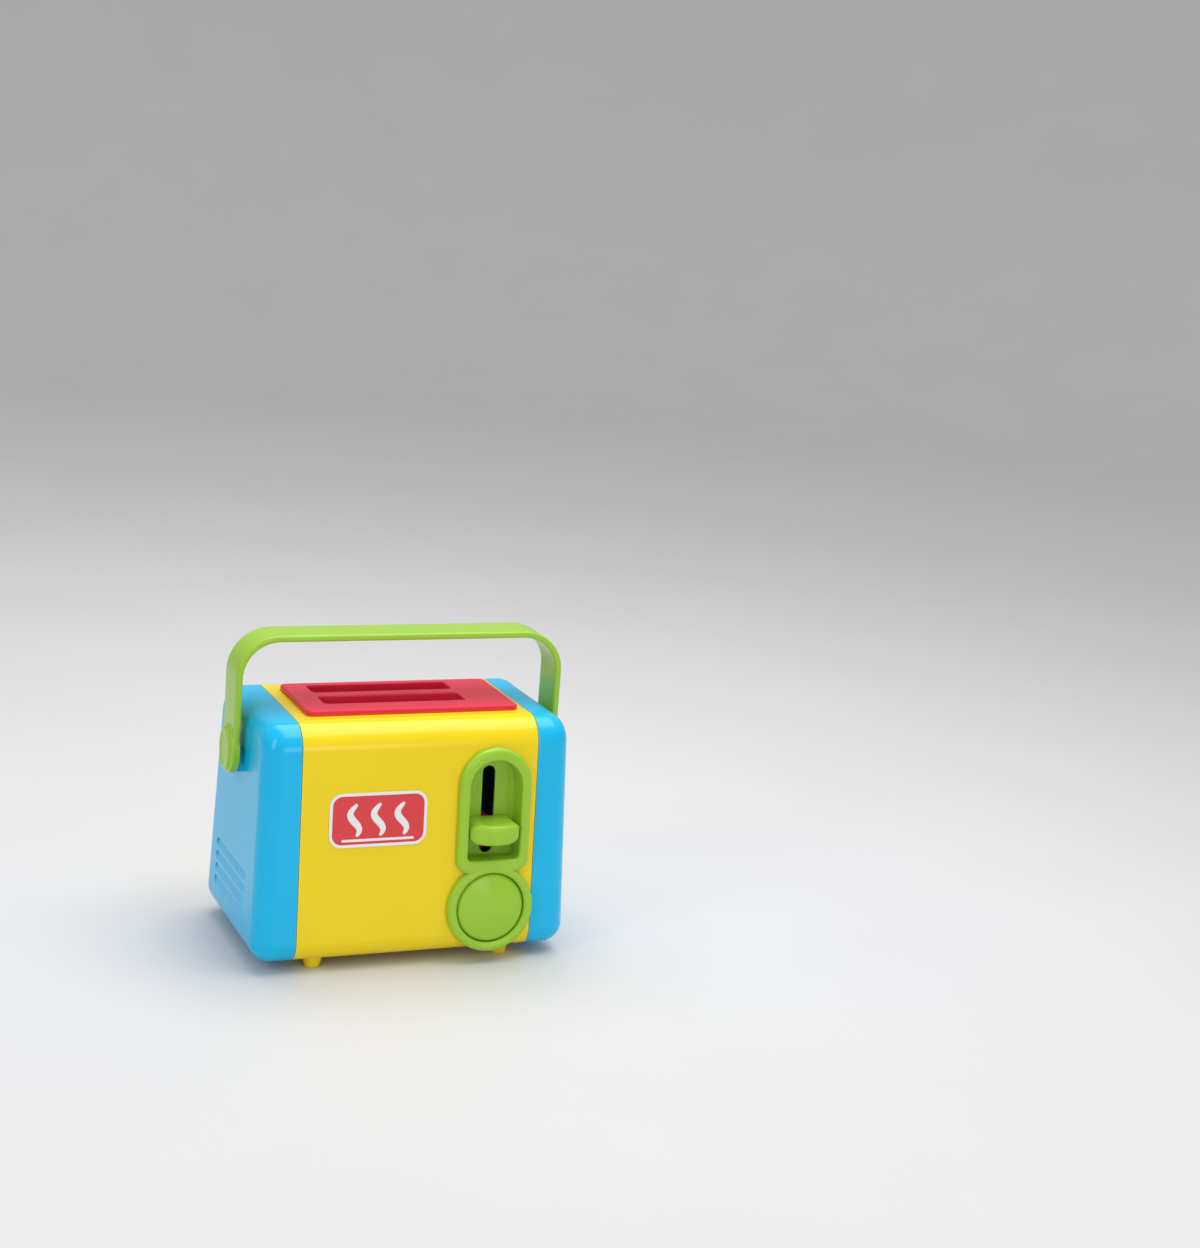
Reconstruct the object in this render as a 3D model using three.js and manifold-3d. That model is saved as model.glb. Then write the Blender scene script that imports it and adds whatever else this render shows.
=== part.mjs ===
// Toy pop-up toaster with two slots, a lever, a release button and a carry handle.
// Millimetres, +Z up, controls facing -Y. It stands on z = 0 with its box centred on X and Y.
import * as THREE from "three";
import { mergeVertices } from "three/addons/utils/BufferGeometryUtils.js";
import Module from "manifold-3d";

// Body sizes
const leftRoom = 17.2; // from the left seam to the left guide rod
const topRoom = 16; // from the control panel's top to the body's top
const footHeight = 6.3;
const bottomDepth = 130.5;
const topDepth = 114.5;
const endTaper = 3.6; // how much further out each end face stands at the bottom than at the top
const topEdgeRadius = 17;
const bottomEdgeRadius = 13;
const endEdgeRadius = 13;
const capWidth = 24.3;
const wall = 2.2;
const spigotLength = 6;
const spigotWall = 1.8;
const spigotRoot = 2; // how deep the spigot's foot goes into the cap

// Clearances
const gap = 0.3; // between pieces that touch
const slideGap = 0.6; // between the lever knob and its pocket
const pinGap = 0.3; // round pins, rods and screws in their holes

// Slot panel sizes
const slotLength = 92;
const slotWidth = 18;
const slotPitch = 27;
const slotCorner = 3;
const slotLip = 1.2;
const slotShiftY = 4.5; // of the slots' middle behind the body's middle
const panelThickness = 3.2;
const panelLeftRim = 8.5; // from the left rod to the panel's left end
const panelRightRim = 22.5; // from the right rod to the panel's right end
const panelFrontRim = 16.3; // from the front slot to the panel's front
const panelBackRim = 5.3; // from the back slot to the panel's back
const panelCorner = 4;
const panelEdge = 1.2;
const chuteDepth = 36;
const chuteWall = 1.8;
const chuteRoom = 0.9; // between a chute's end and the carriage's bush

// Control panel sizes, on the leaning front face
const ringRim = 5.9; // round the button's well
const ringHeight = 36; // of the button's middle above the floor, along the face
const bezelProud = 5.3;
const bezelEdge = 2.6;
const bezelWall = 1.6;
const bezelLap = 5.7; // of the arch's foot over the ring
const bezelNeck = 2.8; // from the ring's top to the lever's pocket
const archRim = 6.6; // beside the pocket
const archBrow = 7.8; // over the pocket
const archCorner = 9;
const pocketWidth = 34;
const pocketHeight = 63.5;
const pocketCorner = 3;
const pocketDepth = 10;
const pocketLip = 1.6;
const leverSlotWidth = 8.4;
const leverSlotPlay = 4.2; // over the arm when the lever is up
const leverSlotFoot = 1; // from the pocket's floor to the slot
const collarDepth = 8;

// Button sizes
const buttonRadius = 21.9;
const buttonGap = 0.4;
const buttonEdge = 4.2; // of the rim beyond the body's face
const buttonRound = 0.6;
const buttonDome = 2.4;
const buttonCrown = 2.4; // radius of the flat in the dome's middle
const buttonSkirt = 8.2;
const stemRadius = 3.6;
const stemLength = 23; // from the body's face inwards
const stemTipRadius = 0.8;
const stemTipLength = 3;
const grooveDepth = 0.6;
const clipThickness = 1.2;
const clipRadius = 6.5;
const buttonTravelOut = 1; // what is left to travel outwards when it stands as drawn

// Lever, carriage and rod sizes
const leverTravel = 30; // from where the lever is drawn, down, to where it stands up
const knobRise = 11; // of the knob over the pocket's floor when it is down
const knobHeight = 13.5;
const knobReach = 14; // beyond the body's face
const knobEdge = 3.6;
const knobCorner = 6.6;
const armRise = 15.75; // of the arm over the pocket's floor when it is down
const armThickness = 5;
const armHeight = 7;
const armRoot = 9; // of the arm's foot in front of the rods
const tangLength = 7;
const trayDrop = 20.75; // of the trays under the arm
const trayThickness = 2;
const trayLip = 6;
const trayLipWall = 1.6;
const trayPlay = 1.2; // between a tray and the slot above it, at front and back
const trayEndPlay = 2.2; // the same at both ends
const bridgeWidth = 6;
const bushRadius = 4.3;
const bushHeight = 18;
const rodRadius = 2;
const rodBossHeight = 7;
const rodSocket = 1; // how deep a rod's end goes into the panel's plate

// Latch sizes
const latchArm = 12; // from the stem's middle up to the pin
const latchTail = 3; // from the stem's middle down to the latch's end
const latchThickness = 3;
const latchWidth = 6;
const latchHub = 3.5;
const latchShoulder = 7; // from the pin up to where the blade stands upright
const pinRadius = 1.5;
const hookRise = 12.5; // from the pin up to the hook's underside
const hookHeight = 3.5;
const hookReach = 4.7;
const hookNose = 1.2;
const catchThickness = 3;
const catchDrop = 4; // height of the catch's tooth
const catchDip = 0.5; // of the tooth's top under the hook
const catchClear = 0.7; // between tooth and hook
const cheekWall = 2.5;
const cheekGap = 3; // between the latch and each cheek
const cheekReach = 4.5; // of a cheek in front of the pin and behind it
const cheekRise = 7;
const cheekFoot = 9; // of a cheek's foot behind the pin
const cheekFootDrop = 4; // of that foot's top under the pin
const stopHeight = 2.4;
const lugHeight = 2.5;
const lugDrop = 8; // of the lug's top under the pin

// Handle sizes
const handleRise = 45.7; // of the handle's top over the body's top
const armStandOff = 3.2; // between the end face and the handle's arm, at the pivot
const bandWidth = 27;
const bandThickness = 4.4;
const bandCorner = 27;
const bandEdge = 1.5;
const pivotDrop = 35.3; // of the pivot under the body's top
const earWidth = 29;
const earHeight = 31;
const earRise = 7.5; // of the ear's middle above the pivot
const earThickness = 5.4;
const earEdge = 1.6;
const padWidth = 23;
const padHeight = 27;
const padThickness = 1.6;
const padEdge = 1.4;
const pegRadius = 5;
const pegLength = 9;
const bossWall = 3; // round the peg
const pivotBossRadius = 8;
const washerRadius = 8.5;
const washerThickness = 1.2;

// Feet, screws, springs, vents and label
const footRadius = 6.5;
const footTaper = 1.6;
const footEdge = 0.8;
const footInsetX = 14.7; // from the seam between shell and cap
const footInsetY = 15.1; // from the body's widest depth
const baseRim = 0.6; // of the base plate round the feet
const postRadius = 3.5;
const postHeight = 17;
const ribThickness = 2;
const ribRise = 5; // of a rib's foot over the base plate
const screwRadius = 1.2;
const screwHead = 2.5;
const screwHeadHeight = 1.6;
const screwCover = 1.4; // what is left over a screw's tip
const baseScrewLength = 15;
const pivotScrewScale = 1.3;
const counterbore = 4.8;
const panelScrewInset = 5.8; // from the panel's front
const panelScrewBack = 13; // from the panel's back
const panelScrewEnd = 9; // from the panel's right end
const panelScrewLeft = 10; // from the slots' left end
const bezelScrewSpread = 12; // of the lower two on each side of the middle
const liftWire = 0.5;
const liftCurls = 7;
const buttonWire = 0.4;
const buttonSpringRadius = 6;
const buttonCurls = 4;
const latchWire = 0.35;
const latchCurls = 2;
const ventLength = 72;
const ventShift = 3;
const ventTop = 56;
const ventPitch = 8.3;
const ventHeight = 5.2;
const ventDepth = 1.3;
const ventCount = 4;
const labelWidth = 62;
const labelHeight = 34;
const labelRoom = 19.9; // from the control panel to the label
const labelRise = 12; // of the label over the pocket's floor
const labelCorner = 8;
const labelThickness = 0.3;

// Facets and modelling aids
const edgeSteps = 4;
const ringSides = 36;
const roundSides = 16;
const earSides = 24;
const archSteps = 7;
const noseSteps = 14;
const boltSides = 10;
const curlSteps = 8;
const wireSides = 5;
const past = 1; // how far a cut runs past the face that it opens
const hair = 0.05; // what a full round leaves of the straight beside it
const leastRadius = 0.3;

// Places worked out from the sizes, along X
const ringRadius = buttonRadius + buttonGap + ringRim;
const rodReach = slotLength / 2 + chuteWall + chuteRoom + bushRadius;
const seam = (leftRoom + 2 * rodReach + ringRadius) / 2;
const bodyWidth = 2 * (seam + capWidth);
const shellEnd = seam - gap / 2;
const capStart = seam + gap / 2;
const controlX = seam - ringRadius;
const slotX = controlX - rodReach;
const rodXs = [slotX - rodReach, controlX];
const panelX0 = rodXs[0] - panelLeftRim;
const panelX1 = controlX + panelRightRim;
const footX = seam - footInsetX;
const archWidth = pocketWidth + 2 * archRim;
const labelX = controlX - archWidth / 2 - labelRoom - labelWidth / 2;

// The same along Z
const underside = footHeight;
const ringTop = ringHeight + ringRadius;
const archBottom = ringTop - bezelLap;
const pocketBottom = ringTop + bezelNeck;
const pocketTop = pocketBottom + pocketHeight;
const archTop = pocketTop + archBrow;
const bodyTop = archTop + topRoom;
const bodyHeight = bodyTop - underside;
const panelLow = bodyTop + gap;
const panelTop = panelLow + panelThickness;
const knobLow = pocketBottom + knobRise;
const armLow = pocketBottom + armRise;
const trayLow = armLow - trayDrop;
const trayHigh = trayLow + trayThickness;
const pivotHeight = bodyTop - pivotDrop;
const handleTop = bodyTop + handleRise;
const labelLow = pocketBottom + labelRise;
const baseTop = underside + wall;
const bossTop = baseTop + rodBossHeight;

// The same along Y, and the faces that lean
const lean = Math.atan((bottomDepth - topDepth) / 2 / bodyHeight);
const halfDepthAt = (z) => bottomDepth / 2 - (z - underside) * Math.tan(lean);
const endAt = (z) => bodyWidth / 2 + endTaper * (0.5 - (z - underside) / bodyHeight);
const slotYs = [slotShiftY - slotPitch / 2, slotShiftY + slotPitch / 2];
const panelY0 = slotYs[0] - slotWidth / 2 - panelFrontRim;
const panelY1 = slotYs[1] + slotWidth / 2 + panelBackRim;
const rodY = slotShiftY;
const footY = bottomDepth / 2 - footInsetY;
const baseHalfDepth = footY + footRadius + baseRim;
const armInner = endAt(pivotHeight) + armStandOff;
const armOuter = armInner + bandThickness;

// The leaning front face: x across, y into the body, z up the face from the floor
const front = new THREE.Group();
front.position.y = -halfDepthAt(0);
front.rotation.x = -lean;
front.updateMatrix();
const onFront = (x, out, up) => new THREE.Vector3(x, -out, up).applyMatrix4(front.matrix);

const wasm = await Module();
wasm.setup();

// Outlines

// A closed outline with rounded corners, anticlockwise
function roundedLoop(corners, radii, steps = edgeSteps) {
  const points = corners.map(([u, v]) => new THREE.Vector2(u, v));
  return points.flatMap((corner, i) => {
    const before = points.at(i - 1).clone().sub(corner).normalize();
    const after = points[(i + 1) % points.length].clone().sub(corner).normalize();
    const half = Math.acos(before.dot(after)) / 2;
    const middle = before.clone().add(after).normalize();
    const centre = corner.clone().addScaledVector(middle, radii[i] / Math.sin(half));
    const start = corner.clone().addScaledVector(before, radii[i] / Math.tan(half)).sub(centre);
    const sweep = Math.PI - 2 * half;
    return Array.from({ length: steps + 1 }, (_, k) => {
      const turned = start.clone().rotateAround(new THREE.Vector2(), (sweep * k) / steps);
      return [centre.x + turned.x, centre.y + turned.y];
    });
  });
}

// Each of these gives an outline's loop for a given inset
const bodyLoop = (inset) => {
  const low = underside + inset;
  const high = bodyTop - inset;
  const side = (z) => halfDepthAt(z) - inset / Math.cos(lean);
  const corners = [[-side(low), low], [side(low), low], [side(high), high], [-side(high), high]];
  const radii = [bottomEdgeRadius, bottomEdgeRadius, topEdgeRadius, topEdgeRadius];
  return roundedLoop(corners, radii.map((radius) => Math.max(radius - inset, leastRadius)));
};
const rectangle = (u0, u1, v0, v1, radius, steps) => (inset) => {
  const [a, b, c, d] = [u0 + inset, u1 - inset, v0 + inset, v1 - inset];
  const radii = Array(4).fill(Math.max(radius - inset, leastRadius));
  return roundedLoop([[a, c], [b, c], [b, d], [a, d]], radii, steps);
};
const arch = (width, low, high, corner) => (inset) => {
  const half = width / 2 - inset;
  const [a, b, c, d] = [controlX - half, controlX + half, low + inset, high - inset];
  const foot = Math.max(corner - inset, leastRadius);
  return roundedLoop([[a, c], [b, c], [b, d], [a, d]], [foot, foot, half - hair, half - hair], archSteps);
};
const oval = (u, v, halfU, halfV, sides) => (inset) =>
  Array.from({ length: sides }, (_, i) => {
    const angle = (i / sides) * 2 * Math.PI;
    return [u + (halfU - inset) * Math.cos(angle), v + (halfV - inset) * Math.sin(angle)];
  });
const ringOutline = (radius, sides = ringSides) => oval(controlX, ringHeight, radius, radius, sides);

// Where an outline's plane and its height go
const alongX = (u, v, height) => new THREE.Vector3(height, u, v);
const alongY = (u, v, height) => new THREE.Vector3(u, height, v);
const alongZ = (u, v, height) => new THREE.Vector3(u, v, height);
const outwards = (u, v, height) => new THREE.Vector3(u, -height, v);

// Solids

// A closed geometry as a solid whose faces point out
function solid(geometry) {
  const bare = geometry.index ? geometry.clone() : geometry;
  bare.deleteAttribute("normal");
  bare.deleteAttribute("uv");
  const merged = mergeVertices(bare, 1e-4);
  const made = (triangles) =>
    new wasm.Manifold(
      new wasm.Mesh({ numProp: 3, vertProperties: merged.attributes.position.array, triVerts: triangles }),
    );
  const triangles = new Uint32Array(merged.index.array);
  const first = made(triangles);
  return first.volume() < 0 ? made(triangles.slice().reverse()) : first;
}
const join = (...solids) => solids.reduce((all, next) => all.add(next));
const cut = (base, ...tools) => tools.reduce((all, next) => all.subtract(next), base);

// A solid through rings of as many points each, closed by a fan at both ends
function loft(rings) {
  const count = rings[0].length;
  const index = [];
  for (let r = 0; r + 1 < rings.length; r += 1) {
    for (let i = 0; i < count; i += 1) {
      const a = r * count + i;
      const b = r * count + ((i + 1) % count);
      index.push(a, b, b + count, a, b + count, a + count);
    }
  }
  const last = (rings.length - 1) * count;
  for (let i = 1; i + 1 < count; i += 1) {
    index.push(0, i + 1, i, last, last + i, last + i + 1);
  }
  const geometry = new THREE.BufferGeometry().setFromPoints(rings.flat());
  geometry.setIndex(index);
  return solid(geometry);
}

// A solid on an outline that changes its inset on the way up: stations are [inset, height]
const stack = (outline, stations, place) =>
  loft(stations.map(([inset, height]) => outline(inset).map(([u, v]) => place(u, v, height))));
const prism = (outline, from, to, place) => stack(outline, [[0, from], [0, to]], place);

// Stations that round an edge off up to a top face, and stations that flare a hole's mouth
const roundedTop = (top, radius, steps, side = 1) =>
  Array.from({ length: steps + 1 }, (_, k) => {
    const angle = (k / steps) * (Math.PI / 2);
    return [side * radius * (1 - Math.cos(angle)), top - radius + radius * Math.sin(angle)];
  });
const flare = (top, lip) => [[0, top - lip], [-lip * 0.3, top - lip * 0.3], [-lip, top], [-lip, top + past]];

function box(x0, x1, y0, y1, z0, z1) {
  const geometry = new THREE.BoxGeometry(x1 - x0, y1 - y0, z1 - z0);
  return solid(geometry.translate((x0 + x1) / 2, (y0 + y1) / 2, (z0 + z1) / 2));
}

// The same box on the left or the right of the control's middle
const sideBox = (side, near, far, ...rest) =>
  side > 0
    ? box(controlX + near, controlX + far, ...rest)
    : box(controlX - far, controlX - near, ...rest);

// A flat outline of [y, z] points, as thick as `width` about x = `middle`
function blade(points, middle, width) {
  const shape = new THREE.Shape(points.map(([y, z]) => new THREE.Vector2(y, z)));
  const geometry = new THREE.ExtrudeGeometry(shape, { depth: width, bevelEnabled: false });
  const turn = new THREE.Matrix4().makeBasis(vec(0, 1, 0), vec(0, 0, 1), vec(1, 0, 0));
  return solid(geometry.applyMatrix4(turn).translate(middle - width / 2, 0, 0));
}

// A turned solid: the profile is [radius, distance along the axis] from the axis to the axis
function turned(profile, from, axis, sides = roundSides) {
  const points = profile.map(([radius, along]) => new THREE.Vector2(radius, along));
  const turn = new THREE.Quaternion().setFromUnitVectors(vec(0, 1, 0), axis.clone().normalize());
  const geometry = new THREE.LatheGeometry(points, sides).applyQuaternion(turn);
  return solid(geometry.translate(from.x, from.y, from.z));
}
const bar = (radius, from, to, sides) => {
  const axis = to.clone().sub(from);
  return turned([[0, 0], [radius, 0], [radius, axis.length()], [0, axis.length()]], from, axis, sides);
};
const vec = (x, y, z) => new THREE.Vector3(x, y, z);
const post = (radius, x, y, z0, z1) => bar(radius, vec(x, y, z0), vec(x, y, z1));
const axle = (radius, x0, x1, sides) => bar(radius, vec(x0, 0, pivotHeight), vec(x1, 0, pivotHeight), sides);
const inPart = (made) => made.transform(front.matrix.elements);
const inFront = (made) => made.transform(front.matrix.clone().invert().elements);
const mirrored = (made) => made.mirror([1, 0, 0]);

// A helix about an axis, for springs
class Helix extends THREE.Curve {
  constructor(radius, length, curls, place) {
    super();
    Object.assign(this, { radius, length, curls, place });
  }
  getPoint(t, target = new THREE.Vector3()) {
    const angle = t * this.curls * 2 * Math.PI;
    const across = this.radius * Math.cos(angle);
    return target.copy(this.place(across, this.radius * Math.sin(angle), t * this.length));
  }
}

// A round wire along a curve
function wire(curve, radius, steps) {
  const section = new THREE.Shape(
    Array.from({ length: wireSides }, (_, i) => {
      const angle = (i / wireSides) * 2 * Math.PI;
      return new THREE.Vector2(radius * Math.cos(angle), radius * Math.sin(angle));
    }),
  );
  return solid(new THREE.ExtrudeGeometry(section, { steps, extrudePath: curve }));
}

// Finishes
const finish = (color, roughness, metalness = 0) => ({ color, roughness, metalness });
const yellowPlastic = finish(0xf3d412, 0.3);
const bluePlastic = finish(0x0fb4ec, 0.3);
const greenPlastic = finish(0x8fce35, 0.28);
const redPlastic = finish(0xe02f45, 0.3);
const steel = finish(0xb8bcc0, 0.3, 1);
const springSteel = finish(0x9aa0a6, 0.25, 1);
const labelPaper = finish(0xe8343f, 0.4);

const toaster = new THREE.Group();
toaster.add(front);

// Adds a solid to a group as a named mesh
function place(name, made, look, group = toaster) {
  const { vertProperties, triVerts } = made.getMesh();
  const geometry = new THREE.BufferGeometry();
  geometry.setAttribute("position", new THREE.BufferAttribute(vertProperties, 3));
  geometry.setIndex(new THREE.BufferAttribute(triVerts, 1));
  geometry.computeVertexNormals();
  const mesh = new THREE.Mesh(geometry, new THREE.MeshStandardMaterial(look));
  mesh.name = name;
  group.add(mesh);
}

// Screws

// A pan head screw whose head sits behind `seat`, with its shank along `axis`
function screw(seat, axis, length, scale = 1) {
  const [head, shank] = [screwHead * scale, screwRadius * scale];
  const headTop = -screwHeadHeight;
  const profile = [
    [0, headTop],
    [head * 0.7, headTop],
    [head, headTop / 2],
    [head, 0],
    [shank, 0],
    [shank, length - screwRadius],
    [0, length],
  ];
  return turned(profile, seat, axis, boltSides);
}
const up = vec(0, 0, 1);
const shankHole = (from, axis, length) =>
  bar(screwRadius + pinGap, from, from.clone().addScaledVector(axis, length), boltSides);
const panelScrewLength = wall + 2 * gap + panelThickness - screwCover;
const bezelScrewLength = wall + gap + bezelProud - screwCover;
const baseScrewPlaces = [-1, 1].flatMap((x) =>
  [-1, 1].map((y) => vec(x * footX, y * footY, counterbore - gap)),
);
const panelScrewPlaces = [
  [slotX - slotLength / 2 + panelScrewLeft, panelY0 + panelScrewInset],
  [panelX1 - panelScrewEnd, panelY0 + panelScrewInset],
  [panelX1 - panelScrewEnd, panelY1 - panelScrewBack],
].map(([x, y]) => vec(x, y, bodyTop - wall - gap));
const bezelScrewPlaces = [
  [controlX, (archTop + pocketTop + bezelWall) / 2],
  [controlX - bezelScrewSpread, (archBottom + pocketBottom - bezelWall) / 2],
  [controlX + bezelScrewSpread, (archBottom + pocketBottom - bezelWall) / 2],
];

// The way that the bezel's collar takes through the shell and the right cap's spigot
const collarRadius = buttonRadius + buttonGap + bezelWall;
const collarEnd = -collarDepth - bezelWall;
const collarWay = inPart(prism(ringOutline(collarRadius + gap), collarEnd - gap, 2 * wall, outwards));

// Body shell: one wrap over the front, top and back, open at both ends and underneath
const bodyOuter = prism(bodyLoop, -shellEnd, shellEnd, alongX);
const pocket = arch(pocketWidth, pocketBottom, pocketTop, pocketCorner);

function bodyShell() {
  const hollow = stack(bodyLoop, [[wall, -seam - past], [wall, seam + past]], alongX);
  const mouth = baseHalfDepth + gap;
  const underCut = box(-seam - past, seam + past, -mouth, mouth, 0, baseTop + gap);
  const posts = baseScrewPlaces.map(({ x, y }) => {
    const column = post(postRadius, x, y, baseTop + gap, baseTop + gap + postHeight);
    const reach = Math.sign(y) * bottomDepth / 2;
    const rib = box(
      x - ribThickness / 2,
      x + ribThickness / 2,
      Math.min(y, reach),
      Math.max(y, reach),
      baseTop + ribRise,
      baseTop + postHeight,
    );
    const pilot = shankHole(vec(x, y, baseTop - past), up, baseScrewLength);
    return cut(join(column, rib.intersect(bodyOuter)), pilot);
  });
  const room = 2 * gap;
  const chuteHole = prism(
    rectangle(
      rodXs[0] - bushRadius - room,
      rodXs[1] + bushRadius + room,
      slotYs[0] - slotWidth / 2 - chuteWall - room,
      slotYs[1] + slotWidth / 2 + chuteWall + room,
      slotCorner,
      2,
    ),
    bodyTop - 2 * wall,
    bodyTop + past,
    alongZ,
  );
  const aroundPocket = -bezelWall - gap;
  const pocketHole = stack(pocket, [[aroundPocket, -3 * wall], [aroundPocket, 2 * wall]], outwards);
  const bezelHoles = bezelScrewPlaces.map(([x, v]) =>
    join(
      bar(screwRadius + pinGap, vec(x, 2 * wall, v), vec(x, -wall, v), boltSides),
      bar(screwHead + gap, vec(x, 4 * wall, v), vec(x, wall, v), boltSides),
    ),
  );
  const panelHoles = panelScrewPlaces.map((seat) => shankHole(seat, up, 3 * wall));
  return cut(
    join(cut(bodyOuter, hollow, underCut), ...posts),
    chuteHole,
    inPart(pocketHole),
    collarWay,
    ...bezelHoles.map(inPart),
    ...panelHoles,
  );
}
place("body_shell", bodyShell(), yellowPlastic);

// Base plate: closes the bottom, with the feet, the rod bosses and the latch's two cheeks
const stemTip = onFront(controlX, -stemLength, ringHeight);
const pin = vec(controlX, stemTip.y + gap + latchThickness / 2, stemTip.z + latchArm);
const cheekInner = latchWidth / 2 + cheekGap;
const cheekOuter = cheekInner + cheekWall;
const stopFace = pin.y + pinRadius + pinGap; // where the latch spring's two ends bear
const pinHole = bar(pinRadius + pinGap, vec(0, pin.y, pin.z), vec(seam, pin.y, pin.z));

function basePlate() {
  const slab = bodyOuter.intersect(box(-seam, seam, -baseHalfDepth, baseHalfDepth, 0, baseTop));
  const sole = footRadius - footTaper;
  const footProfile = [[0, 0], [sole - footEdge, 0], [sole, footEdge], [footRadius, baseTop], [0, baseTop]];
  const feet = baseScrewPlaces.map(({ x, y }) => turned(footProfile, vec(x, y, 0), up));
  const bosses = rodXs.map((x) => post(bushRadius, x, rodY, underside, bossTop));
  const footTop = pin.z - cheekFootDrop;
  const footBack = pin.y + cheekFoot;
  const cheekTop = pin.z + cheekRise;
  const cheeks = [-1, 1].flatMap((side) => [
    sideBox(side, cheekInner, cheekOuter, pin.y - cheekReach, pin.y + cheekReach, underside, cheekTop),
    sideBox(side, cheekInner, cheekOuter, pin.y, footBack, underside, footTop),
    sideBox(side, -past, cheekOuter, footBack - cheekWall, footBack, underside, footTop),
  ]);
  const stopNear = latchWidth / 2 + 2 * gap;
  const stopLow = cheekTop - stopHeight;
  const stop = sideBox(1, stopNear, cheekOuter, pin.y - pinRadius, stopFace, stopLow, cheekTop);
  const holes = [
    ...baseScrewPlaces.map(({ x, y }) => post(screwHead + pinGap, x, y, -past, counterbore)),
    ...baseScrewPlaces.map(({ x, y }) => shankHole(vec(x, y, 0), up, baseTop + past)),
    ...rodXs.map((x) => post(rodRadius + pinGap, x, rodY, baseTop, bossTop + past)),
  ];
  return cut(join(slab, ...feet, ...bosses, ...cheeks, stop), ...holes, pinHole);
}
place("base_plate", basePlate(), yellowPlastic);
baseScrewPlaces.forEach((seat, i) => {
  place(`base_screw_${i + 1}`, screw(seat, up, baseScrewLength), steel);
});

// End caps: hollow, rounded all round, with a spigot inside the shell, vents and a pivot boss
const bossFace = armInner - gap;
const pegEnd = armInner - pegLength;
const bossEnd = pegEnd + gap;

function endCap() {
  const ring = (inset, height) => bodyLoop(inset).map(([y, z]) => vec(height(z), y, z));
  const skin = loft([
    ring(0, () => capStart),
    ...roundedTop(0, endEdgeRadius, 4).map(([inset, drop]) => ring(inset, (z) => endAt(z) + drop)),
  ]);
  const hollow = loft([
    ring(wall, () => seam - past),
    ...roundedTop(0, endEdgeRadius - wall, 3).map(([inset, drop]) =>
      ring(wall + inset, (z) => endAt(z) - wall + drop),
    ),
  ]);
  const rootEnd = capStart + spigotRoot;
  const spigot = stack(bodyLoop, [[wall + gap, seam - spigotLength], [wall + gap, rootEnd]], alongX);
  const flange = stack(bodyLoop, [[wall / 2, capStart], [wall / 2, rootEnd]], alongX);
  const bore = wall + gap + spigotWall;
  const through = stack(bodyLoop, [[bore, seam - spigotLength - past], [bore, rootEnd + past]], alongX);
  const boss = join(
    axle(pivotBossRadius, endAt(pivotHeight) - wall, bossFace),
    axle(pegRadius + bossWall, bossEnd, bossFace - past),
  );
  const vents = Array.from({ length: ventCount }, (_, i) => {
    const high = ventTop - i * ventPitch;
    const low = high - ventHeight;
    const wedge = new THREE.Shape([
      new THREE.Vector2(endAt(high) + past, high),
      new THREE.Vector2(endAt(high) - ventDepth, high),
      new THREE.Vector2(endAt(low), low),
      new THREE.Vector2(endAt(low) + past, low),
    ]);
    const geometry = new THREE.ExtrudeGeometry(wedge, { depth: ventLength, bevelEnabled: false });
    return solid(geometry.rotateX(Math.PI / 2).translate(0, ventShift + ventLength / 2, 0));
  });
  const pivotHole = axle(pegRadius + pinGap, seam, armInner + past);
  return cut(join(cut(skin, hollow), cut(join(spigot, flange), through), boss), pivotHole, ...vents);
}
const plainCap = endCap();
place("right_end_cap", cut(plainCap, collarWay), bluePlastic);
place("left_end_cap", mirrored(plainCap), bluePlastic);

// Slot panel: a raised plate with two slots and the chutes that guide the slices
function slotPanel() {
  const plate = stack(
    rectangle(panelX0, panelX1, panelY0, panelY1, panelCorner),
    [[0, panelLow], ...roundedTop(panelTop, panelEdge, 3)],
    alongZ,
  );
  const slots = slotYs.map((y) =>
    rectangle(
      slotX - slotLength / 2,
      slotX + slotLength / 2,
      y - slotWidth / 2,
      y + slotWidth / 2,
      slotCorner,
      3,
    ),
  );
  const chuteLow = panelLow - chuteDepth;
  const chutes = slots.map((outline) =>
    stack(outline, [[-chuteWall, chuteLow], [-chuteWall, panelLow + past]], alongZ),
  );
  const ways = slots.map((outline) =>
    stack(outline, [[0, chuteLow - past], ...flare(panelTop, slotLip)], alongZ),
  );
  const bossLow = panelLow - rodBossHeight;
  const bosses = rodXs.map((x) => post(bushRadius, x, rodY, bossLow, panelLow + past));
  const rodHoles = rodXs.map((x) => post(rodRadius + pinGap, x, rodY, bossLow - past, panelLow - rodSocket));
  const pilots = panelScrewPlaces.map((seat) => shankHole(seat, up, panelScrewLength + gap));
  return cut(join(plate, ...chutes, ...bosses), ...ways, ...rodHoles, ...pilots);
}
place("slot_panel", slotPanel(), redPlastic);
panelScrewPlaces.forEach((seat, i) => {
  place(`panel_screw_${i + 1}`, screw(seat, up, panelScrewLength), steel);
});

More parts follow.
